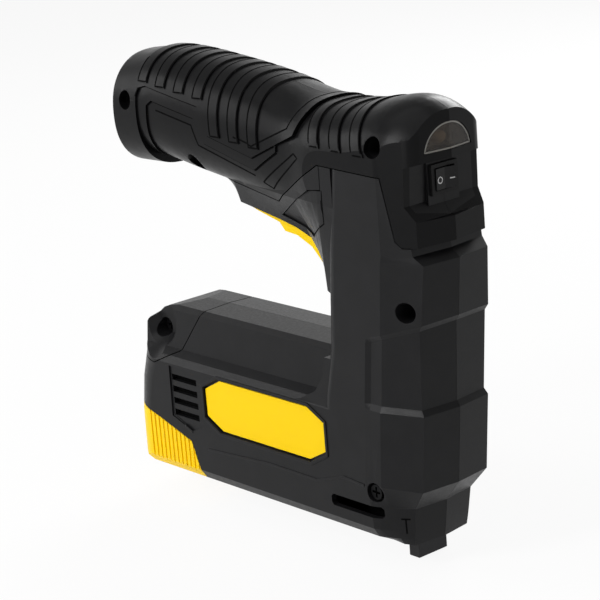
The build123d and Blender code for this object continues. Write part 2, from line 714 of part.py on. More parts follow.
walls.append(rod_y(*TRIGGER_PIVOT, TRIGGER_PIN_D + 4.0, -40, -TRIGGER_SLOT) & guard_form(0.3))
yellow_outline = Polygon(*YELLOW_BORDER, align=None)
magazine_roof = offset(yellow_outline, amount=WALL, kind=Kind.INTERSECTION) - yellow_outline
walls.append(side_solid(magazine_roof, -40, -SEAM) & lower_mid)
walls += [rod_y(x, z, BOSS_D, -40, -SEAM) & hard for x, z, seat in SCREWS[:4]]
walls.append(rod_y(*NOSE_SCREW, BOSS_D, -40, -NOSE_SCREW_END - 0.9) & column_mid)
shell = shell + walls

# Openings cut through the shell
CHANNEL_GAP = CHANNEL_Y + SEAT
NOSE_GAP = NOSE_WIDTH / 2 + FIT
ROCKER_HOLE_Y = ROCKER_LENGTH / 2 - 1.0
ROCKER_HOLE_Z = ROCKER_HEIGHT / 2 - 0.9
cap_zone = side_prism(CAP_BORDER, -40, 40)
yellow_zone = side_prism(YELLOW_BORDER, -40, 40)
window = [(WINDOW_X + x, WINDOW_Z + z) for x, z in octagon(WINDOW_LENGTH, WINDOW_HEIGHT, 1.0, 1.0)]
label_seat = octagon(LABEL_LENGTH + 1.2, LABEL_HEIGHT + 1.2, LABEL_CUT_X, LABEL_CUT_Z)
label_seat = [(LABEL_X + x, LABEL_Z + z) for x, z in label_seat]
openings = [
    box(-99, NOSE_X + NOSE_PLATE + 1.5, -CHANNEL_GAP, CHANNEL_GAP, 0, CHANNEL_TOP_Z + SEAT),
    box(NOSE_X - 4, NOSE_X + 4, -NOSE_GAP, NOSE_GAP, 0, FRAME_LOW_Z),
    side_prism(SLOT_SIDE, -TRIGGER_SLOT, TRIGGER_SLOT),
    rod_y(*TRIGGER_PIVOT, TRIGGER_PIN_D + 2 * SEAT, -TRIGGER_PIN_Y - SEAT, TRIGGER_PIN_Y + SEAT),
    box(PANEL_X - ROCKER_DEPTH - 6, PANEL_X + 1, -ROCKER_HOLE_Y - SEAT, 20, ROCKER_Z - ROCKER_HOLE_Z - SEAT,
        ROCKER_Z + ROCKER_HOLE_Z + SEAT),
    lens_hole,
    rod_x(0, SOCKET_Z, SOCKET_D + 2 * SEAT, -99, -60),
    side_prism(window, -40, WALL + 3 - SIDE_Y),
    side_prism(label_seat, -40, LABEL_DEPTH - SIDE_Y),
    side_prism(VENT_PANEL, -40, VENT_PANEL_DEPTH - SIDE_Y),
    cap_zone,
    yellow_zone,
]
for k in range(VENT_COUNT):
    z = VENT_TOP_Z - VENT_PITCH * k
    openings.append(box(VENT_X - VENT_LENGTH / 2, VENT_X + VENT_LENGTH / 2, -40, WALL + 1 - SIDE_Y,
                        z - VENT_HEIGHT / 2, z + VENT_HEIGHT / 2))
shell = shell - openings

# Screw seats: recess and clearance hole on the right, pilot hole on the left
SCREW_END_Y = 9.0
shell_left = mirror(shell, about=Plane.XZ)
skin_left = mirror(skin, about=Plane.XZ)
screw_holes = []
for x, z, seat in SCREWS[:4]:
    screw_holes.append(rod_y(x, z, SCREW_RECESS_D, -60, -seat))
    screw_holes.append(rod_y(x, z, SCREW_D + 2 * SEAT, -seat - 1, SCREW_END_Y + 0.6))
nose_hole = rod_y(*NOSE_SCREW, SCREW_RECESS_D, -60, -NOSE_SCREW_SEAT)
nose_hole = nose_hole + rod_y(*NOSE_SCREW, SCREW_D + 2 * SEAT, -30, -NOSE_SCREW_END - 0.4)
shell_right = shell - [*screw_holes, nose_hole]
shell_left = shell_left - screw_holes[1::2]
skin_right = skin - screw_holes


# Rear cap and magazine grip
cap_space = side_solid(drawn_in(Polygon(*CAP_BORDER, align=None), BORDER_GAP), -40, 40)
cap = (lower_form(0) & cap_space) - lower_form(WALL)
dish = Cone(SCOOP_FLOOR_D / 2, SCOOP_RIM_D / 2, SIDE_Y - SCOOP_FLOOR_Y, align=(Align.CENTER, Align.CENTER, Align.MIN))
scoop = Pos(SCOOP[0], -SCOOP_FLOOR_Y, SCOOP[1]) * Rot(90, 0, 0) * dish
cap_x, cap_z, cap_seat = SCREWS[4]
cap_boss = rod_y(*SCOOP, SCOOP_RIM_D - 3.0, -SIDE_Y, WALL - cap_seat) & lower_form(0.4) & cap_space
cap = (cap + cap_boss) - scoop
cap = cap - [rod_y(cap_x, cap_z, SCREW_D + 2 * SEAT, -20, 0), rod_y(cap_x, cap_z, SCREW_RECESS_D, -40, -cap_seat)]
cap_post = box(cap_x - 4.5, cap_x + 4.5, SEAM, SCREW_END_Y + 2.0, 46, cap_z + 4.0) & lower_form(WALL + FIT)
cap_shelf = box(cap_x - 4.5, cap_x + 4.5, SEAM, 40, 46, 51) & lower_mid
post_hole = rod_y(cap_x, cap_z, SCREW_D + 2 * SEAT, -1, SCREW_END_Y + 0.6)
shell_left = (shell_left + [cap_post, cap_shelf]) - post_hole

YELLOW_SECTION = closed([
    (0.0, BASE_Z), (-BASE_FLAT_Y, BASE_Z), (BASE_BEVEL_Y - SIDE_Y, BASE_Z + BASE_BEVEL_Z),
    (-SIDE_Y, BASE_Z + BASE_RISE), (-SIDE_Y, 45.0), (0.0, 45.0),
])
YELLOW_SIDE = (
    (REAR_X, 50.0), (REAR_X, 31.0), (REAR_X + 1.0, 23.0), (REAR_X + 4.0, 15.4), (REAR_X + 9.0, 11.0),
    (REAR_X + 16.0, BASE_Z), (-30.0, BASE_Z), (-30.0, 50.0),
)
YELLOW_WALL = 2.2
YELLOW_RIBS = 12


def yellow_form(inset):
    """Magazine grip: its cross-section, side view, plan and border met together."""
    section = drawn_in(Polygon(*YELLOW_SECTION, align=None), inset)
    side = drawn_in(Polygon(*YELLOW_SIDE, align=None), inset)
    border = drawn_in(Polygon(*YELLOW_BORDER, align=None), inset + FIT)
    body = cross_solid(section, -120, 0) & side_solid(side, -40, 40)
    return body & side_solid(border, -40, 40) & rear_plan(inset)


MAGAZINE_WALL_X = REAR_X + YELLOW_WALL + 8.0
yellow = yellow_form(0) - (yellow_form(YELLOW_WALL) & box(MAGAZINE_WALL_X, 0, -40, 40, 0, 60))
grooves = []
for k in range(YELLOW_RIBS):
    x = REAR_X + REAR_PLAN[0][2] + 1.0 + 2.6 * k
    grooves.append(box(x, x + 1.0, -40, 0.5 - SIDE_Y, 0, 60))
    grooves.append(box(x, x + 1.0, SIDE_Y - 0.5, 40, 0, 60))
channel_space = box(MAGAZINE_WALL_X, 0, -CHANNEL_Y - FIT, CHANNEL_Y + FIT, CHANNEL_LOW_Z - FIT, CHANNEL_TOP_Z + FIT)
yellow = yellow - grooves - channel_space

# Staple channel, rail, follower, feed rod and feed spring
channel = box(CHANNEL_REAR_X, CHANNEL_FRONT_X, -CHANNEL_Y, CHANNEL_Y, CHANNEL_LOW_Z, CHANNEL_TOP_Z)
channel = channel - box(CHANNEL_REAR_X - 1, CHANNEL_FRONT_X + 1, CHANNEL_WALL - CHANNEL_Y, CHANNEL_Y - CHANNEL_WALL,
                        0, CHANNEL_TOP_Z - CHANNEL_WALL)
feed_slot = box(WINDOW_X - WINDOW_LENGTH / 2, WINDOW_X + WINDOW_LENGTH / 2 - 4, -20, 20, WINDOW_Z - 1, WINDOW_Z + 1)
channel = channel - feed_slot
rail = box(MAGAZINE_WALL_X, RAIL_FRONT_X, -RAIL_Y, RAIL_Y, RAIL_LOW_Z, RAIL_TOP_Z)
RAIL_REAR_WALL = MAGAZINE_WALL_X + 2.0
RAIL_FRONT_WALL = RAIL_FRONT_X - 1.5
rail = rail - box(RAIL_REAR_WALL, RAIL_FRONT_WALL, RAIL_WALL - RAIL_Y, RAIL_Y - RAIL_WALL, RAIL_LOW_Z + RAIL_WALL, 60)
rail = rail - rod_x(0, ROD_Z, ROD_D + 2 * SEAT, MAGAZINE_WALL_X + 0.5, RAIL_FRONT_X - 0.5)
rod = rod_x(0, ROD_Z, ROD_D, MAGAZINE_WALL_X + 0.6, RAIL_FRONT_X - 0.6)
FOLLOWER_FRONT_X = RAIL_FRONT_WALL - 0.6
FOLLOWER_REAR_X = FOLLOWER_FRONT_X - FOLLOWER_LENGTH
FOLLOWER_GAP = 0.15
FOLLOWER_TONGUE = 4.0
skirt_y = CHANNEL_Y - CHANNEL_WALL - FOLLOWER_GAP
follower = box(FOLLOWER_REAR_X, FOLLOWER_FRONT_X, -skirt_y, skirt_y, RAIL_LOW_Z + 2.0,
               CHANNEL_TOP_Z - CHANNEL_WALL - FOLLOWER_GAP)
follower = follower - box(FOLLOWER_REAR_X - 1, FOLLOWER_FRONT_X + 1, -RAIL_Y - FOLLOWER_GAP, RAIL_Y + FOLLOWER_GAP,
                          0, RAIL_TOP_Z + FOLLOWER_GAP)
tongue_y = RAIL_Y - RAIL_WALL - FOLLOWER_GAP
tongue = box(FOLLOWER_FRONT_X - FOLLOWER_TONGUE, FOLLOWER_FRONT_X, -tongue_y, tongue_y,
             RAIL_LOW_Z + RAIL_WALL + FOLLOWER_GAP, RAIL_TOP_Z + 0.5)
follower = (follower + tongue) - rod_x(0, ROD_Z, ROD_D + 2 * FOLLOWER_GAP, -99, 99)
FEED_START_X = RAIL_REAR_WALL + 0.1
FEED_END_X = FOLLOWER_FRONT_X - FOLLOWER_TONGUE - 0.1
feed_spring = coil(FEED_D, FEED_WIRE, FEED_TURNS, FEED_END_X - FEED_START_X)
feed_spring = Pos(FEED_START_X, 0, ROD_Z) * Rot(0, 90, 0) * feed_spring

# Nose, driver blade, hammer, guide rods, frame and drive spring
NOSE_REAR_X = NOSE_X + BLADE / 2 + 0.1
nose = box(NOSE_REAR_X, NOSE_REAR_X + NOSE_PLATE, -NOSE_WIDTH / 2, NOSE_WIDTH / 2, 0, NOSE_PLATE_TOP)
lip_y = BLADE_WIDTH / 2 + 0.2
for side in (-1, 1):
    y = sorted((side * lip_y, side * NOSE_WIDTH / 2))
    nose = nose + box(CHANNEL_FRONT_X + SEAT, NOSE_REAR_X, y[0], y[1], 0, NOSE_PLATE_TOP)
nose = nose + box(CHANNEL_FRONT_X - 1.5, NOSE_X - BLADE / 2 - 0.1, -NOSE_WIDTH / 2, NOSE_WIDTH / 2, 0,
                  CHANNEL_LOW_Z - SEAT)
blade = box(NOSE_X - BLADE / 2, NOSE_X + BLADE / 2, -BLADE_WIDTH / 2, BLADE_WIDTH / 2, BLADE_TIP_Z, BLADE_TOP_Z)
hammer = box(HAMMER_REAR_X, HAMMER_FRONT_X, -HAMMER_Y, HAMMER_Y, HAMMER_LOW_Z, HAMMER_TOP_Z)
blade_slot = box(NOSE_X - BLADE / 2 - SEAT, NOSE_X + BLADE / 2 + SEAT, -BLADE_WIDTH / 2 - SEAT,
                 BLADE_WIDTH / 2 + SEAT, 0, BLADE_TOP_Z)
rack_pitch = pi * PINION_MODULE
pinion_r = PINION_MODULE * PINION_TEETH / 2
rack_teeth = []
tooth_half = rack_pitch / 4 - PINION_PLAY / 4
first = int((RACK_LOW_Z - DRIVE_Z) / rack_pitch) - 1
for k in range(first, 3):
    z = DRIVE_Z + (k + 0.5) * rack_pitch
    tip = tooth_half - PINION_MODULE * tan(PRESSURE)
    foot = tooth_half + 1.25 * PINION_MODULE * tan(PRESSURE)
    y_tip = PINION_MODULE - pinion_r
    y_foot = -pinion_r - 1.25 * PINION_MODULE
    rack_teeth.append(Polygon((y_foot - 0.5, z - foot), (y_foot, z - foot), (y_tip, z - tip), (y_tip, z + tip),
                              (y_foot, z + foot), (y_foot - 0.5, z + foot), align=None))
rack_y = -pinion_r - 1.25 * PINION_MODULE
RACK_X = PINION_X - 0.3
rack = cross_solid(Sketch() + rack_teeth, RACK_X, PINION_X + PINION_WIDTH + 0.3)
rack = rack & box(0, 99, -40, 0, RACK_LOW_Z, RACK_TOP_Z)
rack = rack + [
    box(RACK_X, HAMMER_REAR_X - 0.6, rack_y - RACK_BODY, rack_y, RACK_LOW_Z, RACK_TOP_Z),
    box(RACK_X, HAMMER_REAR_X + 5.0, rack_y - RACK_BODY, rack_y, HAMMER_LOW_Z, RACK_TOP_Z),
]
guide_holes = [rod_z(GUIDE_X, side * GUIDE_Y, GUIDE_D + 0.4, 0, 200) for side in (-1, 1)]
hammer = (hammer + rack) - [blade_slot, *guide_holes]
guides = [rod_z(GUIDE_X, side * GUIDE_Y, GUIDE_D, FRAME_LOW_Z + 0.3, FRAME_TOP_Z - 0.3) for side in (-1, 1)]
frame = box(FRAME_REAR_X, FRAME_FRONT_X, -FRAME_Y, FRAME_Y, FRAME_LOW_Z, FRAME_TOP_Z)
frame = frame - box(0, FRAME_FRONT_X - 2.0, -40, 40, FRAME_LOW_Z + FRAME_PLATE, FRAME_TOP_Z - FRAME_PLATE)
frame_holes = [rod_z(GUIDE_X, side * GUIDE_Y, GUIDE_D + 2 * SEAT, 0, 200) for side in (-1, 1)]
frame = frame - frame_holes
frame = frame - box(NOSE_X - BLADE / 2 - 0.2, NOSE_X + BLADE / 2 + 0.2, -lip_y, lip_y, 0, 60)
hammer_spring = coil(SPRING_D, SPRING_WIRE, SPRING_TURNS, FRAME_TOP_Z - FRAME_PLATE - HAMMER_TOP_Z - 0.1)
hammer_spring = Pos(GUIDE_X, 0, HAMMER_TOP_Z + 0.05) * hammer_spring

# Gears: sun on the motor shaft, planets on the carrier, fixed ring, output shaft and sector pinion
centre_r = MODULE * (SUN_TEETH + PLANET_TEETH) / 2
half_tooth = 180 / PLANET_TEETH
GEAR_FRONT_X = GEAR_REAR_X + GEAR_WIDTH


def turned(outline, degrees):
    return Rot(0, 0, degrees) * outline


sun = cross_solid(gear_outline(SUN_TEETH, MODULE, GEAR_PLAY, 1.0, 1.25), GEAR_REAR_X, GEAR_FRONT_X)
sun = sun + rod_x(0, 0, MOTOR_SHAFT_D, MOTOR_REAR_X + 1.0, GEAR_REAR_X + 1.0)
sun = Pos(0, 0, DRIVE_Z) * sun
planets = []
PLANET_PIN_D = 2.4
for k in range(PLANETS):
    at = 360 * k / PLANETS
    phase = at + 180 - half_tooth + at * SUN_TEETH / PLANET_TEETH
    y = centre_r * cos(radians(at))
    z = DRIVE_Z + centre_r * sin(radians(at))
    outline = turned(gear_outline(PLANET_TEETH, MODULE, GEAR_PLAY, 1.0, 1.25), phase)
    outline = outline - Circle(PLANET_PIN_D / 2 + 0.06)
    planets.append(Pos(0, y, z) * cross_solid(outline, GEAR_REAR_X + 0.1, GEAR_FRONT_X - 0.1))
ring_gaps = gear_outline(RING_TEETH, MODULE, -GEAR_PLAY, 1.25, 1.0)
ring = cross_solid(Circle(CASE_D / 2), CASE_REAR_X, CASE_FRONT_X)
ring = ring - [
    cross_solid(ring_gaps, GEAR_REAR_X - 0.3, GEAR_FRONT_X + 0.3),
    rod_x(0, 0, CASE_D - 3.0, GEAR_FRONT_X + 0.2, CASE_FRONT_X + 1),
    rod_x(0, 0, MOTOR_SHAFT_D + 4.0, CASE_REAR_X - 1, GEAR_REAR_X),
]
ring = Pos(0, 0, DRIVE_Z) * ring
CARRIER_X = GEAR_FRONT_X + 0.6
CARRIER = 3.0
carrier = rod_x(0, DRIVE_Z, 2 * centre_r + 6.0, CARRIER_X, CARRIER_X + CARRIER)
for k in range(PLANETS):
    at = 2 * pi * k / PLANETS
    carrier = carrier + rod_x(centre_r * cos(at), DRIVE_Z + centre_r * sin(at), PLANET_PIN_D, GEAR_REAR_X + 0.4,
                              CARRIER_X + 1.0)
SHAFT_FRONT_X = PINION_X + PINION_WIDTH + 0.5
shaft = rod_x(0, DRIVE_Z, SHAFT_D, CARRIER_X + CARRIER, SHAFT_FRONT_X)
cover = rod_x(0, DRIVE_Z, CASE_D, CASE_FRONT_X, BEARING_1_X + BEARING_WIDTH)
cover = cover - [
    rod_x(0, DRIVE_Z, BEARING_D + 2 * SEAT, BEARING_1_X, BEARING_1_X + 20),
    rod_x(0, DRIVE_Z, SHAFT_D + 2.0, CASE_FRONT_X - 1, BEARING_1_X + 1),
]


def bearing(x):
    """Ball bearing as two rings with the balls' shield between them."""
    outer = rod_x(0, DRIVE_Z, BEARING_D, x, x + BEARING_WIDTH) - rod_x(0, DRIVE_Z, SHAFT_D + 0.04, x - 1, x + 9)
    groove = rod_x(0, DRIVE_Z, BEARING_D - 2.2, -1, 0.4) - rod_x(0, DRIVE_Z, SHAFT_D + 2.2, -1, 0.4)
    groove = Pos(x, 0, 0) * groove
    return outer - [groove, Pos(BEARING_WIDTH + 0.6, 0, 0) * groove]


bearings = [bearing(BEARING_1_X), bearing(BEARING_2_X)]
kept = {k % PINION_TEETH for k in range(SECTOR_FIRST, SECTOR_LAST + 1)}
pinion = turned(gear_outline(PINION_TEETH, PINION_MODULE, PINION_PLAY, 1.0, 1.25, kept), 180)
pinion = cross_solid(pinion - Circle(SHAFT_D / 2 + 0.02), PINION_X, PINION_X + PINION_WIDTH)
pinion = Pos(0, 0, DRIVE_Z) * pinion

# Motor
MOTOR_FRONT_X = MOTOR_REAR_X + MOTOR_LENGTH
can = rod_x(0, DRIVE_Z, MOTOR_D, MOTOR_REAR_X + END_BELL, MOTOR_FRONT_X)
can = can - [
    rod_x(0, DRIVE_Z, MOTOR_D - 2.4, MOTOR_REAR_X, MOTOR_FRONT_X - 1.5),
    rod_x(0, DRIVE_Z, MOTOR_SHAFT_D + 0.4, MOTOR_REAR_X, MOTOR_FRONT_X + 5),
]
rotor = rod_x(0, DRIVE_Z, MOTOR_D - 8.0, MOTOR_REAR_X + END_BELL + 5.0, MOTOR_FRONT_X - 4.0)
rotor = rotor - rod_x(0, DRIVE_Z, MOTOR_SHAFT_D + 0.04, MOTOR_REAR_X, MOTOR_FRONT_X)
end_bell = rod_x(0, DRIVE_Z, MOTOR_D, MOTOR_REAR_X, MOTOR_REAR_X + END_BELL)
end_bell = end_bell - rod_x(0, DRIVE_Z, MOTOR_SHAFT_D + 0.4, MOTOR_REAR_X + 0.8, MOTOR_FRONT_X)
for y in (-6.0, 6.0):
    end_bell = end_bell + box(MOTOR_REAR_X - 4.0, MOTOR_REAR_X + 1.0, y - 0.3, y + 0.3, DRIVE_Z - 2.0, DRIVE_Z + 2.0)

# Trigger, its pin, return spring and switch
TRIGGER_SIDE = (
    (-16.5, 121.0), (-12.7, 119.8), (-0.6, 116.9), (2.2, 113.9), (9.0, 113.2), (16.6, 110.0), (21.6, 105.2),
    (25.5, 101.8), (28.4, 101.2), (29.4, 103.6), (27.6, 112.0), (22.0, 119.0), (8.0, 122.4), (-8.0, 124.0),
    (-18.0, 126.0), (-18.3, 123.0),
)
trigger = side_prism(TRIGGER_SIDE, -TRIGGER_Y, TRIGGER_Y)
trigger = trigger + rod_y(*TRIGGER_PIVOT, TRIGGER_EYE_D, -TRIGGER_Y, TRIGGER_Y)
trigger = trigger - rod_y(*TRIGGER_PIVOT, TRIGGER_PIN_D + 0.2, -20, 20)
trigger_pin = rod_y(*TRIGGER_PIVOT, TRIGGER_PIN_D, -TRIGGER_PIN_Y, TRIGGER_PIN_Y)
RETURN_X = -4.0
RETURN_FOOT_Z = 123.4
trigger = trigger - rod_z(RETURN_X, 0, RETURN_D + RETURN_WIRE + 0.6, RETURN_FOOT_Z, 140)
return_spring = coil(RETURN_D, RETURN_WIRE, RETURN_TURNS, SPRING_SEAT_Z - RETURN_FOOT_Z - 0.1)
return_spring = Pos(RETURN_X, 0, RETURN_FOOT_Z + 0.05) * return_spring
switch = box(SWITCH_X, SWITCH_X + SWITCH_LENGTH, -SWITCH_Y, SWITCH_Y, SWITCH_LOW_Z, SWITCH_LOW_Z + SWITCH_HEIGHT)
switch = switch + box(SWITCH_X + 8, SWITCH_X + 10.4, -1.4, 1.4, SWITCH_LOW_Z - 1.6, SWITCH_LOW_Z + 1)
for x in (2.0, 10.0, 18.0):
    switch = switch + box(SWITCH_X + x - 0.4, SWITCH_X + x + 0.4, -1.6, 1.6, SWITCH_LOW_Z + 9, SWITCH_LOW_Z + 13)

# Rocker switch in the panel
half_l = ROCKER_LENGTH / 2
half_h = ROCKER_HEIGHT / 2
case = box(PANEL_X, PANEL_X + ROCKER_BEZEL, -half_l, half_l, ROCKER_Z - half_h, ROCKER_Z + half_h)
case = case + box(PANEL_X - ROCKER_DEPTH, PANEL_X, -ROCKER_HOLE_Y, ROCKER_HOLE_Y, ROCKER_Z - ROCKER_HOLE_Z,
                  ROCKER_Z + ROCKER_HOLE_Z)
POCKET_Y = ROCKER_HOLE_Y - 0.6
POCKET_Z = ROCKER_HOLE_Z - 0.5
case = case - box(PANEL_X - ROCKER_DEPTH + 1.2, PANEL_X + 9, -POCKET_Y, POCKET_Y, ROCKER_Z - POCKET_Z,
                  ROCKER_Z + POCKET_Z)
for y in (-3.5, 3.5):
    case = case + box(PANEL_X - ROCKER_DEPTH - 5.0, PANEL_X - ROCKER_DEPTH + 0.5, y - 0.3, y + 0.3, ROCKER_Z - 1.6,
                      ROCKER_Z + 1.6)
ROCKER_AXIS_X = PANEL_X - 1.2
key_y = POCKET_Y - 0.5
key_face = ROCKER_AXIS_X + 2.6
key = Polygon((key_face + 0.7, -key_y), (key_face, 0), (key_face + 0.7, key_y), (ROCKER_AXIS_X - 0.6, key_y - 0.3),
              (ROCKER_AXIS_X - 4.0, 2.0), (ROCKER_AXIS_X - 4.0, -2.0), (ROCKER_AXIS_X - 0.6, 0.3 - key_y), align=None)
key = plan_solid(key, ROCKER_Z - POCKET_Z + FIT, ROCKER_Z + POCKET_Z - FIT)
rocker_turn = Pos(ROCKER_AXIS_X, 0, 0) * Rot(0, 0, -ROCKER_TILT) * Pos(-ROCKER_AXIS_X, 0, 0)
key = rocker_turn * key
axle = rod_z(ROCKER_AXIS_X, 0, 2.0, ROCKER_Z - POCKET_Z - 0.4, ROCKER_Z + POCKET_Z + 0.4)
case = case - rod_z(ROCKER_AXIS_X, 0, 2.3, ROCKER_Z - POCKET_Z - 0.6, ROCKER_Z + POCKET_Z + 0.6)
key = key + axle

# Work light: lens, lamp and board
LENS_REAR_X = PANEL_BACK_X + 0.6
lens = cross_solid(lens_outline(0), LENS_REAR_X, 99) & grip_form(0.3)
lens = lens - cross_solid(offset(lens_outline(0), amount=-LENS_RIM), 60, HEAD_FRONT_X - 0.8)
LIGHT_BOARD_X = PANEL_BACK_X - 0.9 - BOARD
lamp_z = LENS_LOW_Z + 4.0
light_board = box(LIGHT_BOARD_X, LIGHT_BOARD_X + BOARD, -8.0, 8.0, VISOR_Z + 2.4, LENS_LOW_Z + 8.0)
lamp = rod_x(0, lamp_z, 5.0, LIGHT_BOARD_X + BOARD, LIGHT_BOARD_X + BOARD + 3.2)
lamp = lamp + Pos(LIGHT_BOARD_X + BOARD + 3.2, 0, lamp_z) * Sphere(2.5)
lamp = lamp & box(LIGHT_BOARD_X + BOARD, 99, -20, 20, 100, 200)
BOARD_Y = 8.0
board = box(46.0, 64.0, BOARD_Y, BOARD_Y + BOARD, 122.0, 149.0)
chips = [box(50, 57, BOARD_Y - 1.6, BOARD_Y, 128, 135), box(50, 53, BOARD_Y - 2.4, BOARD_Y, 138, 144),
         box(56, 61, BOARD_Y - 4.0, BOARD_Y, 138, 146)]
board_posts = []
for x, z, end in ((48.5, 125.0, SIDE_Y - WALL / 2), (61.5, 146.0, SIDE_Y - GRIP_SKIN - WALL / 2)):
    board_posts.append(rod_y(x, z, 5.0, BOARD_Y + BOARD + SEAT, end))
    board = board - rod_y(x, z, 2.2, 0, 40)
shell_left = shell_left + board_posts

# Cell, contacts and charging socket
cell = CELL_PLACE * (rod_x(0, 0, CELL_D, -CELL_LENGTH / 2, CELL_LENGTH / 2)
                     + rod_x(0, 0, 6.0, CELL_LENGTH / 2 - 1, CELL_LENGTH / 2 + 0.8))
CONTACT = 0.6
contacts = [
    CELL_PLACE * box(-CELL_LENGTH / 2 - CONTACT, -CELL_LENGTH / 2, -4, 4, -6, 10),
    CELL_PLACE * box(CELL_LENGTH / 2 + 0.8, CELL_LENGTH / 2 + 0.8 + CONTACT, -4, 4, -6, 10),
]
socket = rod_x(0, SOCKET_Z, SOCKET_D, HANDLE_REAR_X - 0.4, HANDLE_REAR_X + SOCKET_DEPTH + 2.0)
socket = socket - rod_x(0, SOCKET_Z, SOCKET_BORE, -99, HANDLE_REAR_X + SOCKET_DEPTH)
socket = socket + rod_x(0, SOCKET_Z, 2.0, HANDLE_REAR_X + 1.5, HANDLE_REAR_X + SOCKET_DEPTH + 1)

# Label plates and screws
label = [(LABEL_X + x, LABEL_Z + z) for x, z in octagon(LABEL_LENGTH, LABEL_HEIGHT, LABEL_CUT_X, LABEL_CUT_Z)]
plate_y = SIDE_Y - LABEL_DEPTH
label_right = side_prism(label, -plate_y - LABEL_THICK, -plate_y)
labels = [label_right, mirror(label_right, about=Plane.XZ)]


def screw(x, z, seat, end):
    """Pan-head screw driven from the right, with a cross slot."""
    body = rod_y(x, z, SCREW_HEAD_D, -seat - SCREW_HEAD, -seat) + rod_y(x, z, SCREW_D, -seat - 0.5, end)
    slot = box(x - 2.0, x + 2.0, -seat - 9, -seat - SCREW_HEAD + 1.2, z - 0.45, z + 0.45)
    cross = box(x - 0.45, x + 0.45, -seat - 9, -seat - SCREW_HEAD + 1.2, z - 2.0, z + 2.0)
    return body - [slot, cross]


screws = [screw(x, z, seat, SCREW_END_Y) for x, z, seat in SCREWS]
screws.append(screw(*NOSE_SCREW, NOSE_SCREW_SEAT, -NOSE_SCREW_END - 0.5))

NODES = {
    "housing_right": [shell_right],
    "housing_left": [shell_left],
    "grip_right": [skin_right],
    "grip_left": [skin_left],
    "rear_cap": [cap],
    "magazine_grip": [yellow],
    "magazine_rail": [rail],
    "feed_rod": [rod],
    "feed_spring": [feed_spring],
    "staple_follower": [follower],
    "staple_channel": [channel],
    "nose_plate": [nose],
    "driver_blade": [blade],
    "hammer": [hammer],
    "guide_rods": guides,
    "hammer_frame": [frame],
    "hammer_spring": [hammer_spring],
    "motor_shaft": [sun],
    "motor_rotor": [rotor],
    "motor_can": [can],
    "motor_end_bell": [end_bell],
    "planet_gear_1": [planets[0]],
    "planet_gear_2": [planets[1]],
    "planet_gear_3": [planets[2]],
    "ring_gear": [ring],
    "planet_carrier": [carrier],
    "output_shaft": [shaft],
    "sector_pinion": [pinion],
    "gearbox_cover": [cover],
    "shaft_bearings": bearings,
    "trigger": [trigger],
    "trigger_pin": [trigger_pin],
    "trigger_spring": [return_spring],
    "trigger_switch": [switch],
    "rocker_case": [case],
    "rocker_key": [key],
    "light_lens": [lens],
    "light_board": [light_board],
    "light_lamp": [lamp],
    "control_board": [board],
    "board_chips": chips,
    "battery_cell": [cell],
    "battery_contacts": contacts,
    "charge_socket": [socket],
    "label_plates": labels,
    "housing_screws": screws,
}
for name, pieces in NODES.items():
    solids = [solid for piece in pieces for solid in piece.solids()]
    print(name, len(solids))
    export_step(Compound(children=solids) if len(solids) > 1 else solids[0], f"parts/{name}.step")
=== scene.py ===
from math import acos, ceil, cos, radians, sin, tau

import bpy
from mathutils import Matrix, Vector
from mathutils.bvhtree import BVHTree


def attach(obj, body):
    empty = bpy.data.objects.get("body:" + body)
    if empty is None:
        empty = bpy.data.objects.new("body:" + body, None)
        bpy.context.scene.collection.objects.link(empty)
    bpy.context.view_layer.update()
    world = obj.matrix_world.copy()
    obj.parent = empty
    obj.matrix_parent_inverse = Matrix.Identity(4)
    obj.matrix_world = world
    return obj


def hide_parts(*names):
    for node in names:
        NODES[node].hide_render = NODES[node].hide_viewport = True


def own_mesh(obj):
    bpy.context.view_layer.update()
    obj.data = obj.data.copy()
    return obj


bl_info = {
    "name": "Cordless stapler looks",
    "version": (1, 1, 0),
    "blender": (4, 5, 0),
    "location": "View3D > Sidebar > Stapler",
    "description": "Finishes, small details and a studio for the cordless stapler",
    "category": "Object",
}

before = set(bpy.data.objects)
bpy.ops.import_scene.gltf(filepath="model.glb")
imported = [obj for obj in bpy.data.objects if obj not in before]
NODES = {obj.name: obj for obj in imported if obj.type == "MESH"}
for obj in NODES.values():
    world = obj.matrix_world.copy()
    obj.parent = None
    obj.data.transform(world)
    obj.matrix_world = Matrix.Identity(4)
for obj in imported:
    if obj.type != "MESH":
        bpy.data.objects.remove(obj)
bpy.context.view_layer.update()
MM = 0.001
SIDES = (-1.0, 1.0)              # right and left of the tool, as signs of y

# Finishes, with lengths in millimetres
GLOSS_BAND = (0.35, 0.65)        # values of the noise that most of a surface lies between
TINT_BAND = (0.3, 0.7)
GRAIN_DEPTH = 0.05
WELD_GAP = 0.01
EDGE_ANGLE = 30.0                # edges sharper than this are softened, in degrees


def shader_of(material):
    """Principled shader of a finish."""
    return material.node_tree.nodes["Principled BSDF"]


def new_material(name, colour, roughness, metallic=0.0, specular=0.5):
    """Plain principled finish."""
    material = bpy.data.materials.new(name)
    material.use_nodes = True
    shader = shader_of(material)
    shader.inputs["Base Color"].default_value = (*colour[:3], 1.0)
    shader.inputs["Roughness"].default_value = roughness
    shader.inputs["Metallic"].default_value = metallic
    shader.inputs["Specular IOR Level"].default_value = specular
    return material


def new_finish(name, colour, gloss, patch_mm, metallic=0.0, specular=0.5):
    """Finish whose roughness wanders between the two values of gloss over patches of about patch_mm."""
    material = new_material(name, colour, sum(gloss) / 2, metallic, specular)
    noise = add_noise(material, patch_mm, detail=3.0)
    tree = material.node_tree
    roughness = add_range(tree, noise.outputs["Fac"], GLOSS_BAND, gloss)
    tree.links.new(roughness, shader_of(material).inputs["Roughness"])
    return material


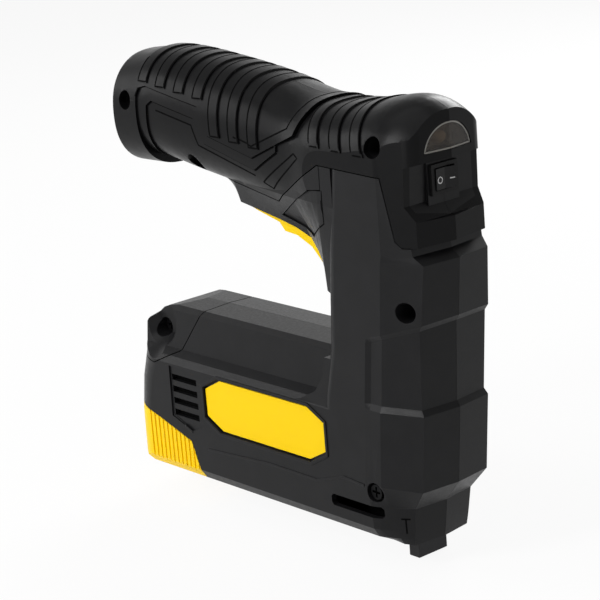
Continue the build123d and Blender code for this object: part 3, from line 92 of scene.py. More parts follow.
def add_noise(material, size_mm, detail=2.0):
    """Even noise over the object's own coordinates, with spots of about size_mm."""
    tree = material.node_tree
    place = tree.nodes.new("ShaderNodeTexCoord")
    noise = tree.nodes.new("ShaderNodeTexNoise")
    noise.inputs["Scale"].default_value = 1.0 / (size_mm * MM)
    noise.inputs["Detail"].default_value = detail
    tree.links.new(place.outputs["Object"], noise.inputs["Vector"])
    return noise


def add_range(tree, value, source, target):
    """Value moved from one range to another and held within its ends."""
    spread = tree.nodes.new("ShaderNodeMapRange")
    for name, number in zip(("From Min", "From Max", "To Min", "To Max"), (*source, *target)):
        spread.inputs[name].default_value = number
    tree.links.new(value, spread.inputs["Value"])
    return spread.outputs["Result"]


def add_grain(material, size_mm, strength):
    """Fine even bump, with grains of about size_mm."""
    tree = material.node_tree
    noise = add_noise(material, size_mm)
    bump = tree.nodes.new("ShaderNodeBump")
    bump.inputs["Strength"].default_value = strength
    bump.inputs["Distance"].default_value = GRAIN_DEPTH * MM
    tree.links.new(noise.outputs["Fac"], bump.inputs["Height"])
    tree.links.new(bump.outputs["Normal"], shader_of(material).inputs["Normal"])


def vary_colour(material, colour, spread, size_mm):
    """Base colour that wanders a little lighter and darker over patches of about size_mm."""
    tree = material.node_tree
    noise = add_noise(material, size_mm, detail=4.0)
    ramp = tree.nodes.new("ShaderNodeValToRGB")
    for stop, position, level in zip(ramp.color_ramp.elements, TINT_BAND, (1.0 - spread, 1.0 + spread)):
        stop.position = position
        stop.color = (*[min(1.0, part * level) for part in colour[:3]], 1.0)
    tree.links.new(noise.outputs["Fac"], ramp.inputs["Fac"])
    tree.links.new(ramp.outputs["Color"], shader_of(material).inputs["Base Color"])


def painted_groove_shade():
    """Near-black finish of painted shade, for narrow moulded grooves, the nail sign and the backs of the vents, made
    once.
    """
    ready = bpy.data.materials.get("groove_shade")
    colour = (0.0015, 0.0015, 0.0016)
    return ready or new_finish("groove_shade", colour, gloss=(0.8, 1.0), patch_mm=1.0, specular=0.05)


def soften(piece, bevel_mm, angle):
    """Rounds the edges that are sharper than the angle."""
    weld = piece.modifiers.new("weld", "WELD")
    weld.merge_threshold = WELD_GAP * MM
    bevel = piece.modifiers.new("bevel", "BEVEL")
    bevel.width = bevel_mm * MM
    bevel.segments = 2
    bevel.limit_method = "ANGLE"
    bevel.angle_limit = radians(angle)
    shading = piece.modifiers.new("shading", "WEIGHTED_NORMAL")
    shading.keep_sharp = True


def dress(names, material, bevel_mm=0.0, angle=EDGE_ANGLE):
    """Gives CAD nodes a finish and, where asked, softened edges."""
    for name in names:
        node = NODES[name]
        node.data.materials.clear()
        node.data.materials.append(material)
        if bevel_mm:
            soften(node, bevel_mm, angle)


# Fine lines and signs laid on the surfaces, in millimetres. A section gives a line's width, its height above the
# surface and its depth below it. The reaches are where rays start, out to the side and ahead of the tool.
SIDE_REACH = 60.0
FRONT_REACH = 99.0
LINE_STEP = 1.5


def surface_of(names):
    """Search tree over the faces of CAD nodes."""
    points = []
    faces = []
    for name in names:
        first = len(points)
        mesh = NODES[name].data
        points += [vertex.co.copy() for vertex in mesh.vertices]
        faces += [[first + index for index in face.vertices] for face in mesh.polygons]
    return BVHTree.FromPolygons(points, faces)


def touch(surface, start, heading):
    """Point and outward normal where a ray in millimetres first meets the surface, or None."""
    heading = Vector(heading).normalized()
    point, normal, *_ = surface.ray_cast(Vector(start) * MM, heading)
    if point is None:
        return None
    if normal.dot(heading) > 0:
        normal = -normal
    return point / MM, normal


def divided(points, step, closed=False):
    """Points of a path with more of them along its straight stretches."""
    path = []
    stops = list(points) + ([points[0]] if closed else [])
    for start, end in zip(stops, stops[1:]):
        start, end = Vector(start), Vector(end)
        count = max(1, ceil((end - start).length / step))
        path += [start.lerp(end, k / count) for k in range(count)]
    if not closed:
        path.append(Vector(points[-1]))
    return path


def beside(surface, x, z, side):
    """Point on one side of the tool at a place in the side view."""
    return touch(surface, (x, SIDE_REACH * side, z), (0.0, -side, 0.0))


def side_line(surface, points, side):
    """Line on one side of the tool through places in the side view."""
    places = divided([(*point, 0.0) for point in points], LINE_STEP)
    hits = [beside(surface, place[0], place[1], side) for place in places]
    return [hit for hit in hits if hit]


def front_line(surface, places):
    """Line on the front of the tool behind places ahead of it."""
    hits = [touch(surface, place, (-1.0, 0.0, 0.0)) for place in places]
    return [hit for hit in hits if hit]


def add_strip(vertices, faces, path, width, proud, sunk, closed=False):
    """Adds a slim closed bar that follows points and normals on a surface."""
    count = len(path)
    first = len(vertices)
    for k, (point, normal) in enumerate(path):
        before = path[k - 1][0] if closed or k else point
        after = path[(k + 1) % count][0] if closed or k < count - 1 else point
        side = (after - before).cross(normal).normalized() * width / 2
        top = point + normal * proud
        low = point - normal * sunk
        vertices += [top + side, top - side, low - side, low + side]
    for k in range(count if closed else count - 1):
        here = first + 4 * k
        ahead = first + 4 * ((k + 1) % count)
        for edge in range(4):
            along = (edge + 1) % 4
            faces.append([here + edge, here + along, ahead + along, ahead + edge])
    if not closed:
        faces.append([first + edge for edge in (3, 2, 1, 0)])
        faces.append([first + 4 * (count - 1) + edge for edge in range(4)])


def add_side_lines(vertices, faces, surface, lines, section):
    """Adds each line on both sides of the tool."""
    for line in lines:
        for side in SIDES:
            add_strip(vertices, faces, side_line(surface, line, side), *section)


def add_plate(vertices, faces, outline, low_y, high_y):
    """Adds a closed plate from an outline in the side view, listed from the rear low corner forward."""
    first = len(vertices)
    count = len(outline)
    vertices += [(x, y, z) for y in (low_y, high_y) for x, z in outline]
    faces.append([first + k for k in range(count)])
    faces.append([first + 2 * count - 1 - k for k in range(count)])
    for k in range(count):
        ahead = (k + 1) % count
        faces.append([first + ahead, first + k, first + count + k, first + count + ahead])


def plate_pair(outline, inner_y, outer_y):
    """Vertices and faces of a like plate on each side of the middle plane."""
    vertices, faces = [], []
    add_plate(vertices, faces, outline, -outer_y, -inner_y)
    add_plate(vertices, faces, outline, inner_y, outer_y)
    return vertices, faces


def new_piece(name, vertices, faces, body, material):
    """Small added piece that rides on a body."""
    mesh = bpy.data.meshes.new(name)
    mesh.from_pydata([Vector(v) * MM for v in vertices], [], faces)
    mesh.update()
    piece = bpy.data.objects.new(name, mesh)
    bpy.context.collection.objects.link(piece)
    mesh.materials.append(material)
    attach(piece, body)
    return piece


# Settings that a user would change
class StaplerLooks(bpy.types.PropertyGroup):
    shell_colour: bpy.props.FloatVectorProperty(
        name="Shell colour", description="Hard shells", subtype="COLOR", size=3, min=0, max=1,
        default=(0.0088, 0.0088, 0.0095))
    grip_colour: bpy.props.FloatVectorProperty(
        name="Grip colour", description="Soft grip", subtype="COLOR", size=3, min=0, max=1,
        default=(0.0045, 0.0045, 0.0049))
    accent_colour: bpy.props.FloatVectorProperty(
        name="Accent colour", description="Trigger, magazine grip and label", subtype="COLOR", size=3, min=0, max=1,
        default=(0.95, 0.63, 0.001))
    edge_softness: bpy.props.FloatProperty(
        name="Edge softness", description="Rounding of the moulded edges in millimetres", default=0.4, min=0, max=1)
    shell_grain: bpy.props.FloatProperty(
        name="Shell grain", description="Strength of the spark texture", subtype="FACTOR", default=0.6, min=0, max=1)
    line_width: bpy.props.FloatProperty(
        name="Line width", description="Width of the moulded lines on the grip in millimetres", default=0.6, min=0.2,
        max=1.5)
    light_power: bpy.props.FloatProperty(
        name="Light power", description="Strength of the studio lights", default=1.0, min=0, max=5)


def looks():
    """Settings of the scene."""
    return bpy.context.scene.stapler_looks


# Hard shells: the angle is low so that the column's shallow facets get softened edges too
SHELL_EDGE_ANGLE = 14.0
# Raised border around each label plate, in the side view of the frame
LABEL_MIDDLE = (-2.3, 43.7)
BORDER_HALF = (35.35, 11.45)
BORDER_CUT = (9.3, 5.0)
BORDER_SECTION = (1.2, 0.4, 0.3)
# Raised beads of the shells, near-black strips that paint the shade in their grooves, and dark plates behind the
# vents that paint the shade inside them
SHELL_BEADS = (
    ((-37.0, 24.2), (-0.3, 26.6), (26.6, 26.4), (41.2, 31.0), (52.0, 30.2)),
    ((-58.0, 34.2), (-46.2, 29.4)),
)
BEAD_SECTION = (1.0, 0.25, 0.3)
BEAD_SOFTNESS = 0.15
SHELL_GROOVE_SHADES = (
    ((33.2, 136.2), (40.6, 136.8), (40.4, 124.9), (28.3, 117.3)),
)
GROOVE_SHADE_SECTION = (0.5, 0.05, 0.3)
VENT_SHADE_SIDE = ((-57.0, 31.0), (-41.5, 31.0), (-41.5, 53.0), (-57.0, 53.0))
VENT_SHADE_Y = (18.2, 18.8)


def label_border():
    """Octagon just outside the label's seat, with its first corner again at the end."""
    middle_x, middle_z = LABEL_MIDDLE
    half_x, half_z = BORDER_HALF
    cut_x, cut_z = BORDER_CUT
    corner = [(half_x - cut_x, half_z), (half_x, half_z - cut_z)]
    quarters = []
    for across, up in ((1, 1), (1, -1), (-1, -1), (-1, 1)):
        ends = [(middle_x + across * x, middle_z + up * z) for x, z in corner]
        quarters += ends if across == up else ends[::-1]
    return quarters + quarters[:1]


class STAPLER_OT_shells(bpy.types.Operator):
    """Hard shells and rear cap"""

    bl_idname = "stapler.shells"
    bl_label = "Hard shells"

    def execute(self, context):
        colour = looks().shell_colour
        material = new_finish("hard_shell", colour, gloss=(0.31, 0.39), patch_mm=1.2, specular=0.14)
        vary_colour(material, colour, spread=0.12, size_mm=9.0)
        add_grain(material, size_mm=0.4, strength=looks().shell_grain)
        dress(["housing_right", "housing_left", "rear_cap"], material, looks().edge_softness, SHELL_EDGE_ANGLE)
        surface = surface_of(["housing_right", "housing_left"])

        vertices, faces = [], []
        for side in SIDES:
            border = side_line(surface, label_border(), side)[:-1]
            add_strip(vertices, faces, border, *BORDER_SECTION, closed=True)
        add_side_lines(vertices, faces, surface, SHELL_BEADS, BEAD_SECTION)
        beads = new_piece("shell_beads", vertices, faces, "housing", material)
        soften(beads, BEAD_SOFTNESS, EDGE_ANGLE)

        # Near-black strips along the shell grooves: painted shade
        vertices, faces = [], []
        add_side_lines(vertices, faces, surface, SHELL_GROOVE_SHADES, GROOVE_SHADE_SECTION)
        new_piece("shell_groove_shade", vertices, faces, "housing", painted_groove_shade())

        # Dark plates behind the vents: painted shade inside the housing
        vertices, faces = plate_pair(VENT_SHADE_SIDE, *VENT_SHADE_Y)
        new_piece("vent_painted_shade", vertices, faces, "housing", painted_groove_shade())
        return {"FINISHED"}


GRIP_EDGE_SHARE = 0.5            # of the softness of the moulded edges
# Ribs of the grip in the side view of the frame: x of the foot's middle, height of the foot, lean to the rear
RIB_START_X = -60.5
RIB_PITCH = 10.9
SHORT_RIBS = [(RIB_START_X + RIB_PITCH * k, 166.0 - 1.2 * k, 0.12) for k in range(4)]
LONG_RIBS = [(RIB_START_X + RIB_PITCH * (k + 4), 149.5 - 0.9 * k, 0.12) for k in range(3)]
FRONT_RIBS = [(38.5 + 11.3 * k, 152.0 - 0.4 * k, 0.45) for k in range(3)]
RIB_WIDTH = 5.7
LINE_INSET = 0.4                 # from the rib's own edge to the middle of its line
FOOT_STOPS = (-0.6, -0.2, 0.2, 0.6)   # shares of the half width between a rib's two edges
# Moulded lines of the grip, drawn as near-black strips that paint the shade in their grooves. The first two go on
# over the crest.
OUTER_LINE = (
    (-64.2, 160.5), (-62.8, 163.7), (-58.9, 164.5), (-27.9, 159.6), (-22.3, 149.4), (2.8, 143.9), (26.0, 154.3),
    (29.0, 162.6),
)
TIP_LINE = ((-6.0, 151.0), (4.1, 148.7), (21.8, 156.5), (24.0, 163.5))
INNER_LINE = (
    (-59.3, 136.4), (-57.9, 157.2), (-55.1, 159.2), (-30.7, 154.9), (-25.8, 146.0), (2.4, 139.1), (16.2, 147.2),
)
PAD_LINE = ((-53.1, 156.0), (-32.5, 152.3), (-29.6, 144.9), (1.2, 136.9))
BAR_LINE = ((4.9, 134.8), (25.9, 148.2), (28.4, 146.9), (9.9, 132.9), (4.9, 134.8))
LINE_PROUD = 0.06
LINE_SUNK = 0.3
LINE_LEAN = -0.03
# Lines round the handle: points on each, angles from the crest, and where rays start outside it
HANDLE_AXIS_Z = 148.0
HANDLE_REACH = 80.0
CREST_POINTS = 110
CREST_SWEEP = (-110.0, 110.0)
FOOT_CLEAR = 0.5
NECK_X = -63.6
NECK_SWEEP = (60.0, 300.0)
NECK_TOP_Z = 160.0


def around(surface, x, z, lean, sweep):
    """Points on the handle in a leaning cross plane through x, z, between two angles from the crest."""
    start, stop = sweep
    upward = Vector((-lean, 0.0, 1.0)).normalized()
    leftward = Vector((0.0, 1.0, 0.0))
    centre = Vector((x - lean * (HANDLE_AXIS_Z - z), 0.0, HANDLE_AXIS_Z))
    hits = []
    for k in range(CREST_POINTS):
        turn = radians(start + (stop - start) * (k + 0.5) / CREST_POINTS)
        heading = upward * cos(turn) + leftward * sin(turn)
        hits.append(touch(surface, centre + heading * HANDLE_REACH, -heading))
    return [hit for hit in hits if hit]


def over_crest(surface, x, foot, lean):
    """Line from the right foot over the crest to the left foot."""
    path = [hit for hit in around(surface, x, foot, lean, CREST_SWEEP) if hit[0].z > foot + FOOT_CLEAR]
    return [beside(surface, x, foot, -1.0), *path, beside(surface, x, foot, 1.0)]


def rib_outline(surface, x, foot, lean):
    """Closed line round a rib on both sides of the handle."""
    half = RIB_WIDTH / 2 - LINE_INSET
    low = foot + LINE_INSET
    rear = over_crest(surface, x - half, low, lean)
    front = over_crest(surface, x + half, low, lean)
    left_foot = [beside(surface, x + half * share, low, 1.0) for share in FOOT_STOPS]
    right_foot = [beside(surface, x - half * share, low, -1.0) for share in FOOT_STOPS]
    return [*rear, *left_foot, *reversed(front), *right_foot]


class STAPLER_OT_grip(bpy.types.Operator):
    """Soft grip, and painted shade along its moulded lines"""

    bl_idname = "stapler.grip"
    bl_label = "Soft grip"

    def execute(self, context):
        colour = looks().grip_colour
        material = new_finish("soft_grip", colour, gloss=(0.28, 0.36), patch_mm=6.0, specular=0.09)
        add_grain(material, size_mm=0.5, strength=0.10)
        dress(["grip_right", "grip_left"], material, GRIP_EDGE_SHARE * looks().edge_softness)
        surface = surface_of(["grip_right", "grip_left"])
        section = (looks().line_width, LINE_PROUD, LINE_SUNK)
        vertices, faces = [], []
        for rib in SHORT_RIBS + LONG_RIBS + FRONT_RIBS:
            add_strip(vertices, faces, rib_outline(surface, *rib), *section, closed=True)
        for line in (OUTER_LINE, TIP_LINE):
            crest = over_crest(surface, *line[-1], LINE_LEAN)
            path = side_line(surface, line, -1.0) + crest + side_line(surface, line, 1.0)[::-1]
            add_strip(vertices, faces, path, *section)
        add_side_lines(vertices, faces, surface, (INNER_LINE, PAD_LINE, BAR_LINE), section)
        neck = around(surface, NECK_X, HANDLE_AXIS_Z, 0.0, NECK_SWEEP)
        add_strip(vertices, faces, [hit for hit in neck if hit[0].z < NECK_TOP_Z], *section)
        # Near-black strips: painted shade along the grip's grooves
        new_piece("grip_line_shade", vertices, faces, "housing", painted_groove_shade())
        return {"FINISHED"}


class STAPLER_OT_accents(bpy.types.Operator):
    """Yellow trigger, magazine grip and label plates"""

    bl_idname = "stapler.accents"
    bl_label = "Yellow pieces"

    def execute(self, context):
        colour = looks().accent_colour
        plastic = new_finish("yellow_plastic", colour, gloss=(0.34, 0.44), patch_mm=4.0, specular=0.14)
        add_grain(plastic, size_mm=0.6, strength=0.08)
        dress(["trigger", "magazine_grip"], plastic, looks().edge_softness)
        film = new_finish("label_yellow", colour, gloss=(0.40, 0.50), patch_mm=3.0, specular=0.12)
        dress(["label_plates"], film)
        return {"FINISHED"}


NOSE_SOFTNESS = 0.6
# Skirts that carry the staple channel's sides down to the base, in the side view of the frame
SKIRT_SIDE = ((-38.0, 8.8), (54.0, 8.8), (56.8, 10.2), (56.8, 12.6), (-38.0, 12.6))
SKIRT_Y = (6.3, 6.95)
# Springs: node, body, joint that shortens it, axis, fixed end in metres, share of the length left at the limit
SPRINGS = (
    ("hammer_spring", "housing", "hammer_lift", (0.0, 0.0, 1.0), (0.061, 0.0, 0.11095), 0.535),
    ("feed_spring", "magazine", "follower_slide", (1.0, 0.0, 0.0), (-0.0729, 0.0, 0.0184), 0.52),
    ("trigger_spring", "housing", "trigger_squeeze", (0.0, 0.0, 1.0), (-0.004, 0.0, 0.13135), 0.76),
)


class STAPLER_OT_metal(bpy.types.Operator):
    """Steel and cast pieces, and copies of the coil springs that ride on their bodies"""

    bl_idname = "stapler.metal"
    bl_label = "Metal pieces"

    def execute(self, context):
        bright = new_finish("bright_steel", (0.50, 0.50, 0.51), gloss=(0.26, 0.38), patch_mm=2.0, metallic=1.0)
        dark = new_finish("dark_steel", (0.13, 0.13, 0.135), gloss=(0.36, 0.48), patch_mm=2.0, metallic=1.0)
        black = new_finish("black_steel_and_painted_shade", (0.017, 0.017, 0.018), gloss=(0.34, 0.50), patch_mm=1.5, metallic=0.8)
        oxide = new_finish("black_oxide", (0.006, 0.006, 0.0065), gloss=(0.42, 0.58), patch_mm=0.8, metallic=0.6,
                           specular=0.1)
        wire = new_finish("spring_steel", (0.42, 0.42, 0.43), gloss=(0.24, 0.36), patch_mm=1.0, metallic=1.0)
        cast = new_material("cast_alloy", (0.40, 0.41, 0.42), roughness=0.50, metallic=1.0)
        add_grain(cast, size_mm=0.6, strength=0.2)
        dress(["magazine_rail", "feed_rod", "driver_blade", "guide_rods"], bright)
        dress(["motor_shaft", "output_shaft", "shaft_bearings", "trigger_pin"], bright)
        dress(["hammer", "hammer_frame", "motor_rotor", "ring_gear", "planet_carrier", "sector_pinion"], dark)
        dress(["planet_gear_1", "planet_gear_2", "planet_gear_3"], dark)
        # Near-black steel: on the staple channel and nose plate, partly their own dark finish and partly painted
        # shade; on the motor can, painted shade that keeps the vents dark inside
        dress(["staple_channel", "motor_can"], black)
        dress(["nose_plate"], black, NOSE_SOFTNESS)
        dress(["housing_screws"], oxide)
        dress(["feed_spring", "hammer_spring", "trigger_spring"], wire)
        dress(["gearbox_cover"], cast)

        vertices, faces = plate_pair(SKIRT_SIDE, *SKIRT_Y)
        new_piece("channel_skirts", vertices, faces, "housing", black)
        for name, body, joint, axis, fixed_end, keep in SPRINGS:
            coil = bpy.data.objects.new(name + "_coil", NODES[name].data.copy())
            bpy.context.collection.objects.link(coil)
            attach(coil, body)
            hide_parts(name)
            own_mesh(coil)
        return {"FINISHED"}


# Light grey strip round the lens that paints a highlight on its edge, in the front view of the frame
LENS_SOFTNESS = 0.25
LENS_CENTRE_Z = 150.7
LENS_EDGE_R = 10.85
LENS_EDGE_LOW_Z = 152.65
LENS_ARC_STEPS = 40
LENS_EDGE_STEP = 0.8
LENS_EDGE_SECTION = (0.5, 0.03, 0.2)


class STAPLER_OT_light(bpy.types.Operator):
    """Work light: lens and lamp"""

    bl_idname = "stapler.light"
    bl_label = "Work light"

    def execute(self, context):
        lens = new_finish("clear_lens", (0.36, 0.30, 0.24), gloss=(0.04, 0.08), patch_mm=3.0, specular=0.12)
        shader_of(lens).inputs["Transmission Weight"].default_value = 0.95
        shader_of(lens).inputs["IOR"].default_value = 1.3
        dress(["light_lens"], lens, LENS_SOFTNESS)
        lamp = new_finish("lamp", (0.30, 0.25, 0.17), gloss=(0.10, 0.16), patch_mm=1.0)
        dress(["light_lamp"], lamp)

        # Light grey finish: painted highlight along the lens edge
        edge = new_finish("lens_edge_highlight", (0.30, 0.29, 0.26), gloss=(0.12, 0.20), patch_mm=1.0)
        swing = acos((LENS_EDGE_LOW_Z - LENS_CENTRE_Z) / LENS_EDGE_R)
        arc = [swing - 2 * swing * k / LENS_ARC_STEPS for k in range(LENS_ARC_STEPS + 1)]
        outline = [(FRONT_REACH, LENS_EDGE_R * sin(turn), LENS_CENTRE_Z + LENS_EDGE_R * cos(turn)) for turn in arc]
        path = front_line(surface_of(["light_lens"]), divided(outline, LENS_EDGE_STEP, True))
        vertices, faces = [], []
        add_strip(vertices, faces, path, *LENS_EDGE_SECTION, closed=True)
        new_piece("lens_edge_highlight", vertices, faces, "housing", edge)
        return {"FINISHED"}


SMALL_SOFTNESS = 0.15
ROCKER_SOFTNESS = 0.2
CELL_SOFTNESS = 0.3


class STAPLER_OT_electrics(bpy.types.Operator):
    """Switches, boards, cell and socket, with the plain plastic pieces"""

    bl_idname = "stapler.electrics"
    bl_label = "Electric pieces"

    def execute(self, context):
        black = new_material("black_plastic", (0.008, 0.008, 0.008), roughness=0.45, specular=0.12)
        add_grain(black, size_mm=0.5, strength=0.1)
        gloss = new_finish("gloss_black", (0.006, 0.006, 0.0065), gloss=(0.20, 0.28), patch_mm=2.0, specular=0.18)
        board = new_finish("circuit_board", (0.03, 0.16, 0.07), gloss=(0.34, 0.46), patch_mm=1.5)
        wrap = new_finish("cell_wrap", (0.08, 0.2, 0.5), gloss=(0.30, 0.42), patch_mm=5.0)
        nickel = new_finish("contact_metal", (0.70, 0.69, 0.64), gloss=(0.24, 0.36), patch_mm=1.0, metallic=1.0)
        smoke = new_finish("light_well", (0.022, 0.016, 0.011), gloss=(0.30, 0.42), patch_mm=1.5, specular=0.2)
        dress(["motor_end_bell", "trigger_switch", "board_chips", "charge_socket"], black, SMALL_SOFTNESS)
        dress(["staple_follower"], black, SMALL_SOFTNESS)
        dress(["rocker_case"], black, ROCKER_SOFTNESS)
        dress(["rocker_key"], gloss, ROCKER_SOFTNESS)
        dress(["control_board"], board)
        dress(["light_board"], smoke)
        dress(["battery_cell"], wrap, CELL_SOFTNESS)
        dress(["battery_contacts"], nickel)
        return {"FINISHED"}


# Off and on marks of the rocker key, in the front view of the frame
ROCKER_MARK_Z = 141.6
ROCKER_O_Y = -2.7
ROCKER_O_R = 1.05
ROCKER_O_STEPS = 32
ROCKER_DASH_Y = (1.5, 3.4)
MARK_SECTION = (0.42, 0.03, 0.12)
# Nail sign beside the nose, drawn in near-black as painted shade of its moulded lines: its place, the way rays meet
# the facet there, and its lines along and up that facet
NAIL_PLACE = Vector((66.0, -15.6, 15.6))
NAIL_FACING = Vector((-0.57, 0.82, 0.0))
NAIL_ALONG = Vector((0.82, 0.57, 0.0))
NAIL_REACH = 20.0
NAIL_HEAD = ((-1.7, 3.2), (1.7, 3.2))
NAIL_SHANK = ((0.0, 3.0), (0.0, -2.6))
NAIL_SECTION = (0.6, 0.06, 0.15)
SIGN_STEP = 0.5


class STAPLER_OT_signs(bpy.types.Operator):
    """Off and on marks of the rocker key, and the moulded nail sign drawn in painted shade"""

    bl_idname = "stapler.signs"
    bl_label = "Signs"

    def execute(self, context):
        white = new_finish("mark_white", (0.72, 0.72, 0.72), gloss=(0.45, 0.55), patch_mm=0.5)
        surface = surface_of(["rocker_key"])
        turns = [tau * k / ROCKER_O_STEPS for k in range(ROCKER_O_STEPS)]
        ring = [(FRONT_REACH, ROCKER_O_Y + ROCKER_O_R * cos(turn), ROCKER_MARK_Z + ROCKER_O_R * sin(turn))
                for turn in turns]
        dash = divided([(FRONT_REACH, y, ROCKER_MARK_Z) for y in ROCKER_DASH_Y], SIGN_STEP)
        vertices, faces = [], []
        add_strip(vertices, faces, front_line(surface, ring), *MARK_SECTION, closed=True)
        add_strip(vertices, faces, front_line(surface, dash), *MARK_SECTION)
        new_piece("rocker_marks", vertices, faces, "rocker", white)

        surface = surface_of(["housing_right"])
        vertices, faces = [], []
        for line in (NAIL_HEAD, NAIL_SHANK):
            places = [NAIL_PLACE + NAIL_ALONG * along + Vector((0.0, 0.0, up)) for along, up in line]
            starts = [place - NAIL_FACING * NAIL_REACH for place in divided(places, SIGN_STEP)]
            add_strip(vertices, faces, [touch(surface, start, NAIL_FACING) for start in starts], *NAIL_SECTION)
        new_piece("nail_sign_shade", vertices, faces, "housing", painted_groove_shade())
        return {"FINISHED"}


# Camera: the photograph's view of the frame
VIEW_AZIMUTH = radians(49.9)
VIEW_ELEVATION = radians(15.985)
VIEW_ROLL = radians(-4.651)
VIEW_TARGET = Vector((-3.0, 0.0, 97.7))
VIEW_DISTANCE = 824.0
VIEW_ASIDE = 2.355
VIEW_RAISE = -12.342
VIEW_LENS = 132.69
# Lamps: name, place and size in metres, power in watts
LAMPS = (
    ("top", (-0.1, -0.2, 0.95), (0.7, 0.7), 2.0),
    ("side", (-0.18, -0.88, 0.71), (0.26, 0.5), 6.5),
    ("low", (0.22, -0.98, 0.12), (0.5, 0.16), 1.4),
    ("left", (-0.82, -0.52, 0.48), (0.35, 0.45), 1.8),
    ("back", (-0.35, 0.95, 0.62), (0.6, 0.5), 8.0),
)
LAMP_AIM = Vector((0.0, 0.0, 0.1))
# Floor and world
WHITE = (1.0, 1.0, 1.0, 1.0)
FLOOR_WHITE = (0.92, 0.92, 0.92)
FLOOR_SIZE = 6.0
FLOOR_Z = -0.0005
FLOOR_SEEN = 0.92                # share of pure white where the floor is seen; the rest keeps the shadow
SOFT_STRENGTH = 0.10
FADE_HEIGHTS = (0.36, 0.66)      # upward part of a direction where the white starts and stops fading
FADE_STRENGTHS = (1.0, 0.45)


def add_camera():
    """Camera at the photograph's view, with its roll."""
    level = cos(VIEW_ELEVATION)
    back = Vector((sin(VIEW_AZIMUTH) * level, -cos(VIEW_AZIMUTH) * level, sin(VIEW_ELEVATION)))
    right = Vector((cos(VIEW_AZIMUTH), sin(VIEW_AZIMUTH), 0.0))
    up = back.cross(right)
    turned_right = right * cos(VIEW_ROLL) + up * sin(VIEW_ROLL)
    turned_up = up * cos(VIEW_ROLL) - right * sin(VIEW_ROLL)
    place = VIEW_TARGET + back * VIEW_DISTANCE + turned_right * VIEW_ASIDE + turned_up * VIEW_RAISE
    data = bpy.data.cameras.new("camera")
    data.lens = VIEW_LENS
    data.sensor_width = 36.0
    data.clip_start = 0.01
    camera = bpy.data.objects.new("camera", data)
    bpy.context.collection.objects.link(camera)
    turn = Matrix((turned_right, turned_up, back)).transposed().to_4x4()
    camera.matrix_world = Matrix.Translation(place * MM) @ turn
    bpy.context.scene.camera = camera


def add_lamp(name, place, size, power):
    """Soft rectangular lamp that points at the tool."""
    data = bpy.data.lights.new(name, "AREA")
    data.shape = "RECTANGLE"
    data.size, data.size_y = size
    data.energy = power * looks().light_power
    light = bpy.data.objects.new(name, data)
    bpy.context.collection.objects.link(light)
    light.location = place
    light.rotation_euler = (LAMP_AIM - Vector(place)).to_track_quat("-Z", "Y").to_euler()


def seen_rays(tree, share):
    """Share for rays that show the background: from the camera, off gloss and through glass."""
    rays = tree.nodes.new("ShaderNodeLightPath")
    total = rays.outputs["Is Camera Ray"]
    for name in ("Is Glossy Ray", "Is Transmission Ray"):
        largest = tree.nodes.new("ShaderNodeMath")
        largest.operation = "MAXIMUM"
        tree.links.new(total, largest.inputs[0])
        tree.links.new(rays.outputs[name], largest.inputs[1])
        total = largest.outputs["Value"]
    part = tree.nodes.new("ShaderNodeMath")
    part.operation = "MULTIPLY"
    tree.links.new(total, part.inputs[0])
    part.inputs[1].default_value = share
    return part.outputs["Value"]


def blend_shaders(tree, share, plain, seen, output):
    """Joins the shader that lights the tool and the one that is seen."""
    mix = tree.nodes.new("ShaderNodeMixShader")
    tree.links.new(share, mix.inputs["Fac"])
    tree.links.new(plain, mix.inputs[1])
    tree.links.new(seen, mix.inputs[2])
    tree.links.new(mix.outputs["Shader"], output)


def add_floor():
    """White floor: matt for light and shadow, and close to pure white where it is seen."""
    bpy.ops.mesh.primitive_plane_add(size=FLOOR_SIZE, location=(0.0, 0.0, FLOOR_Z))
    floor = bpy.context.object
    floor.name = "floor"
    white = new_material("floor_white", FLOOR_WHITE, roughness=0.9, specular=0.0)
    tree = white.node_tree
    glow = tree.nodes.new("ShaderNodeEmission")
    glow.inputs["Strength"].default_value = 1.0
    output = tree.nodes["Material Output"].inputs["Surface"]
    matt = shader_of(white).outputs["BSDF"]
    blend_shaders(tree, seen_rays(tree, FLOOR_SEEN), matt, glow.outputs["Emission"], output)
    floor.data.materials.append(white)


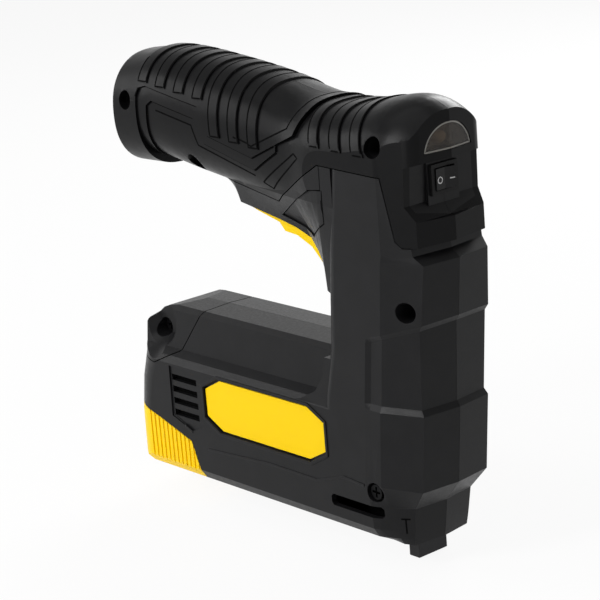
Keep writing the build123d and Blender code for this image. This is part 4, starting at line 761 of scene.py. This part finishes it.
def add_world():
    """Soft even light all round, with a white background that turns greyer high overhead."""
    world = bpy.data.worlds.new("studio")
    world.use_nodes = True
    tree = world.node_tree
    soft = tree.nodes["Background"]
    soft.inputs["Color"].default_value = WHITE
    soft.inputs["Strength"].default_value = SOFT_STRENGTH
    white = tree.nodes.new("ShaderNodeBackground")
    white.inputs["Color"].default_value = WHITE
    heading = tree.nodes.new("ShaderNodeTexCoord")
    split = tree.nodes.new("ShaderNodeSeparateXYZ")
    tree.links.new(heading.outputs["Generated"], split.inputs["Vector"])
    strength = add_range(tree, split.outputs["Z"], FADE_HEIGHTS, FADE_STRENGTHS)
    tree.links.new(strength, white.inputs["Strength"])
    output = tree.nodes["World Output"].inputs["Surface"]
    blend_shaders(tree, seen_rays(tree, 1.0), soft.outputs["Background"], white.outputs["Background"], output)
    bpy.context.scene.world = world


class STAPLER_OT_stage(bpy.types.Operator):
    """Floor, soft lights, world and camera"""

    bl_idname = "stapler.stage"
    bl_label = "Studio"

    def execute(self, context):
        add_floor()
        add_world()
        for lamp in LAMPS:
            add_lamp(*lamp)
        add_camera()
        context.scene.view_settings.view_transform = "Standard"
        return {"FINISHED"}


class STAPLER_PT_panel(bpy.types.Panel):
    """List of the stapler's steps"""

    bl_idname = "STAPLER_PT_panel"
    bl_label = "Stapler"
    bl_space_type = "VIEW_3D"
    bl_region_type = "UI"
    bl_category = "Stapler"

    def draw(self, context):
        for name in StaplerLooks.__annotations__:
            self.layout.prop(context.scene.stapler_looks, name)
        for step in STEPS:
            self.layout.operator(step.bl_idname)


STEPS = (
    STAPLER_OT_shells, STAPLER_OT_grip, STAPLER_OT_accents, STAPLER_OT_metal, STAPLER_OT_light, STAPLER_OT_electrics,
    STAPLER_OT_signs, STAPLER_OT_stage,
)
CLASSES = (StaplerLooks, *STEPS, STAPLER_PT_panel)


def register():
    for cls in CLASSES:
        bpy.utils.register_class(cls)
    bpy.types.Scene.stapler_looks = bpy.props.PointerProperty(type=StaplerLooks)


def unregister():
    del bpy.types.Scene.stapler_looks
    for cls in reversed(CLASSES):
        bpy.utils.unregister_class(cls)


def main():
    register()
    bpy.ops.stapler.shells()
    bpy.ops.stapler.grip()
    bpy.ops.stapler.accents()
    bpy.ops.stapler.metal()
    bpy.ops.stapler.light()
    bpy.ops.stapler.electrics()
    bpy.ops.stapler.signs()
    bpy.ops.stapler.stage()


if __name__ == "__main__":
    main()
